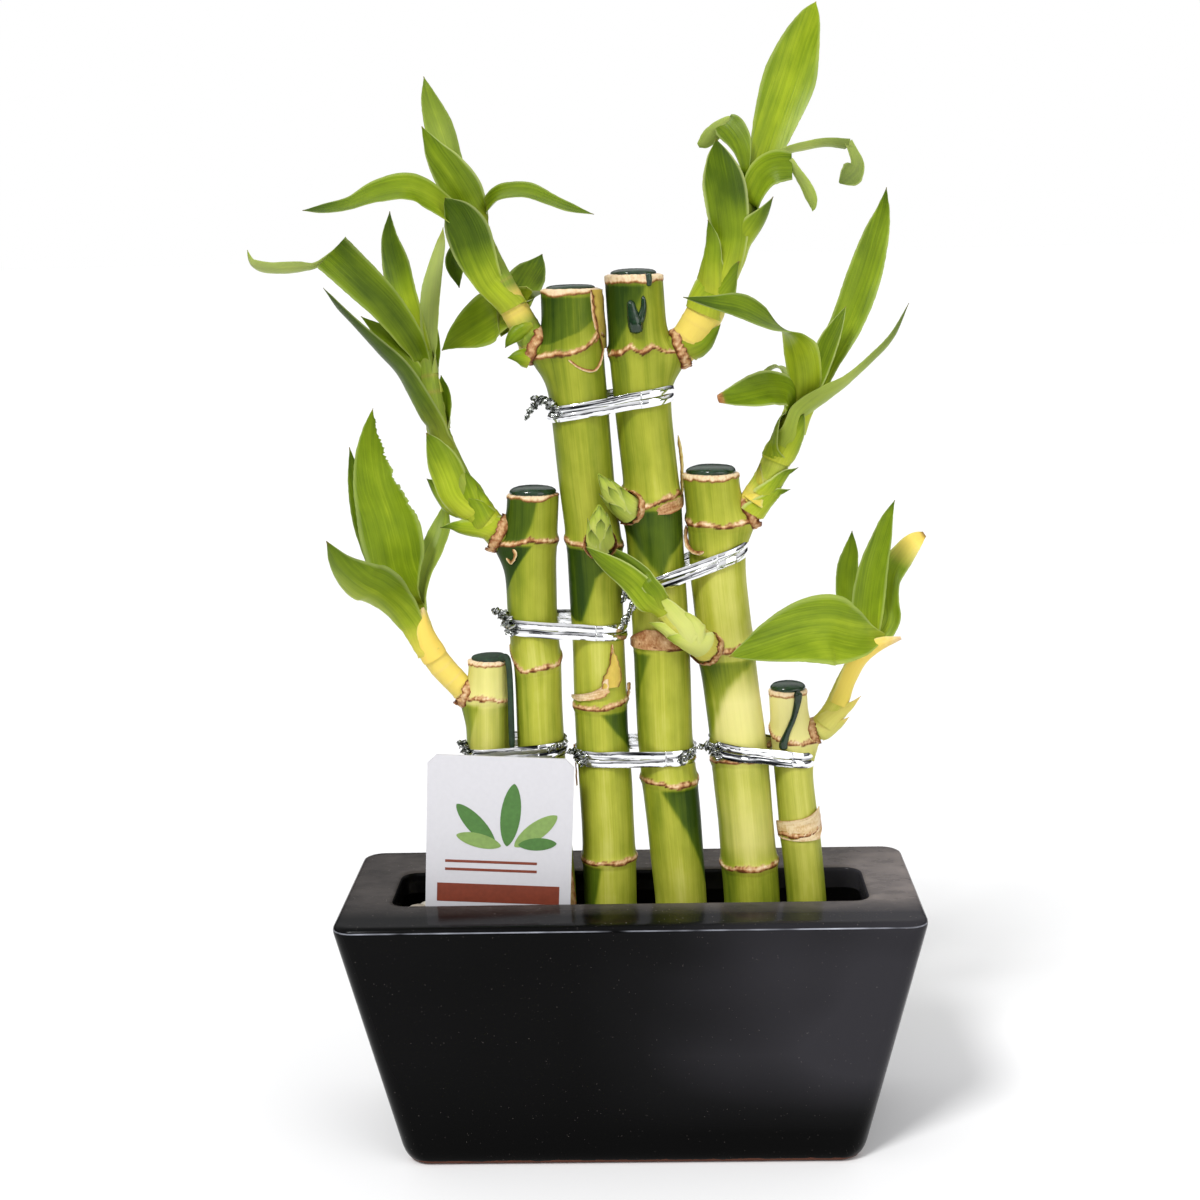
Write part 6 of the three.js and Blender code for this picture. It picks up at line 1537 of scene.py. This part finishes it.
def build():
    """Make every piece and its finishes."""
    leaf = leaf_look("leaf green", LEAF_SHADES, (196, 204, 132), 0.36, 0.26)
    cane_skin = leaf_look("cane green", CANE_SHADES, (232, 224, 156), 0.42, 0.22)
    foil = foil_look()
    piece = Piece()
    planter(piece)
    piece.build("planter_glazed", "planter", "black_glaze", [glaze_look()])
    piece = Piece()
    pebbles(piece)
    piece.build("pebbles", "pebble_bed", "pebbles", [pebble_look()])

    for index, name in enumerate(CANES):
        piece = Piece()
        cane(piece, name, index * 11.3 + 2)
        for k, (owner, edges, *paint) in enumerate(SCRAPS):
            if owner == name:
                patch(piece, name, edges, k + 3, *paint)
        for k, (owner, points, thick, dry) in enumerate(CURLS):
            if owner == name:
                curl(piece, name, points, thick, dry, k)
        piece.build(f"{name}_skin", name, "cane_green", [cane_skin], 60)

    for index, (name, (owner, height, spread, rough, drips)) in enumerate(WAX.items()):
        piece = Piece()
        wax_cap(piece, owner, height, spread, index * 5.1)
        for stations in drips:
            drip(piece, stations)
        for points in RUNS.get(name, []):
            wax_run(piece, owner, points)
        look = wax_look(f"wax {index + 1}", rough)
        piece.build(f"{name}_dome", name, "wax_green", [look], 60)

    for number, (name, parts) in enumerate(SHOOTS.items()):
        piece = Piece()
        style = STYLES[name]
        stem = parts["stem"]
        fleshy_stem(piece, stem, number * 3.1, style["stem_tone"], style["stem_yellow"])
        for order, (leaf_name, stations) in enumerate(parts.items()):
            if leaf_name != "stem":
                look = leaf_style(leaf_name, style.get(leaf_name, {}))
                blade(piece, stations, stem, order, number * 20 + order, look)
        piece.build(f"{name}_leaves", name, "leaf_green", [leaf], 60)

    for number, (name, stations) in enumerate(BUDS.items()):
        piece = Piece()
        bud(piece, stations, number)
        piece.build(f"{name}_scales", name, "leaf_green", [leaf], 60)

    for index, name in enumerate(TIES):
        tie_piece(name, index * 7 + 1).build(f"{name}_foil", name, "silver_foil", [foil], 35)

    piece = Piece()
    card(piece)
    card_looks = [plain_look("card white", srgb(206, 205, 209), 0.45, 0.97),
        plain_look("card rust", srgb(128, 58, 38), 0.5),
        plain_look("card green", srgb(74, 120, 52), 0.5),
        plain_look("card pale green", srgb(130, 160, 84), 0.5)]
    piece.build("care_card", "care_tag", "tag_card", card_looks, 30)


def place_camera():
    """Camera where the photo was taken from."""
    data = bpy.data.cameras.new("camera")
    shape = in_scene("camera", data)
    data.sensor_width = CAMERA_SENSOR
    data.lens = CAMERA_LENS
    data.clip_start, data.clip_end = CAMERA_CLIP
    pitch, roll, yaw = (math.radians(v) for v in (CAMERA_PITCH, CAMERA_ROLL, CAMERA_YAW))
    right = Vector((math.cos(yaw), math.sin(yaw), 0))
    ahead = Vector((-math.sin(yaw) * math.cos(pitch), math.cos(yaw) * math.cos(pitch),
        -math.sin(pitch)))
    up = Vector((-math.sin(yaw) * math.sin(pitch), math.cos(yaw) * math.sin(pitch),
        math.cos(pitch)))
    turned_right = right * math.cos(roll) - up * math.sin(roll)
    turned_up = up * math.cos(roll) + right * math.sin(roll)
    basis = Matrix((turned_right, turned_up, -ahead)).transposed()
    shape.matrix_world = Matrix.Translation(Vector(CAMERA_PLACE) * MM) @ basis.to_4x4()
    bpy.context.scene.camera = shape


def place_light(name, kind, power, place, target, **settings):
    """Light that looks from its place at a target."""
    data = bpy.data.lights.new(name, kind)
    data.energy = power
    for setting, value in settings.items():
        setattr(data, setting, value)
    shape = in_scene(name, data)
    shape.location = place
    shape.rotation_mode = "QUATERNION"
    direction = Vector(target) - Vector(place)
    shape.rotation_quaternion = direction.to_track_quat("-Z", "Y")


def light_and_floor():
    """Pale floor, a bright sky that is white behind the object, a soft sun and a fill light."""
    half = FLOOR_HALF
    mesh = bpy.data.meshes.new("floor")
    mesh.from_pydata([(-half, -half, 0), (half, -half, 0), (half, half, 0), (-half, half, 0)],
        [], [(0, 1, 2, 3)])
    floor = in_scene("floor", mesh)
    look = Look("floor", Base_Color=(0.86, 0.86, 0.86, 1), Roughness=0.9,
        Specular_IOR_Level=0.1)
    mesh.materials.append(look.material)
    world = bpy.data.worlds.new("studio")
    world.use_nodes = True
    bpy.context.scene.world = world
    sky = Nodes(world.node_tree, "Background")
    where = sky.node("TexCoord", {}).outputs["Generated"]
    height = sky.node("SeparateXYZ", {0: where}).outputs[2]
    glow = sky.ramp(height, [(0.16, (0.04, 0.04, 0.045, 1)), (0.5, (0.85, 0.85, 0.86, 1))])
    seen = sky.node("LightPath", {}).outputs["Is Camera Ray"]
    sky.put(sky.shader.inputs["Color"], sky.mix(seen, glow, (1, 1, 1, 1)))
    place_light("key", "SUN", SUN_POWER, SUN_PLACE, (0, 0, 0), angle=math.radians(SUN_SPREAD))
    place_light("fill", "AREA", FILL_POWER, FILL_PLACE, FILL_TARGET, shape="RECTANGLE",
        size=FILL_SIZE, size_y=FILL_SIZE)
    bpy.context.scene.view_settings.view_transform = "Standard"


build()
place_camera()
light_and_floor()
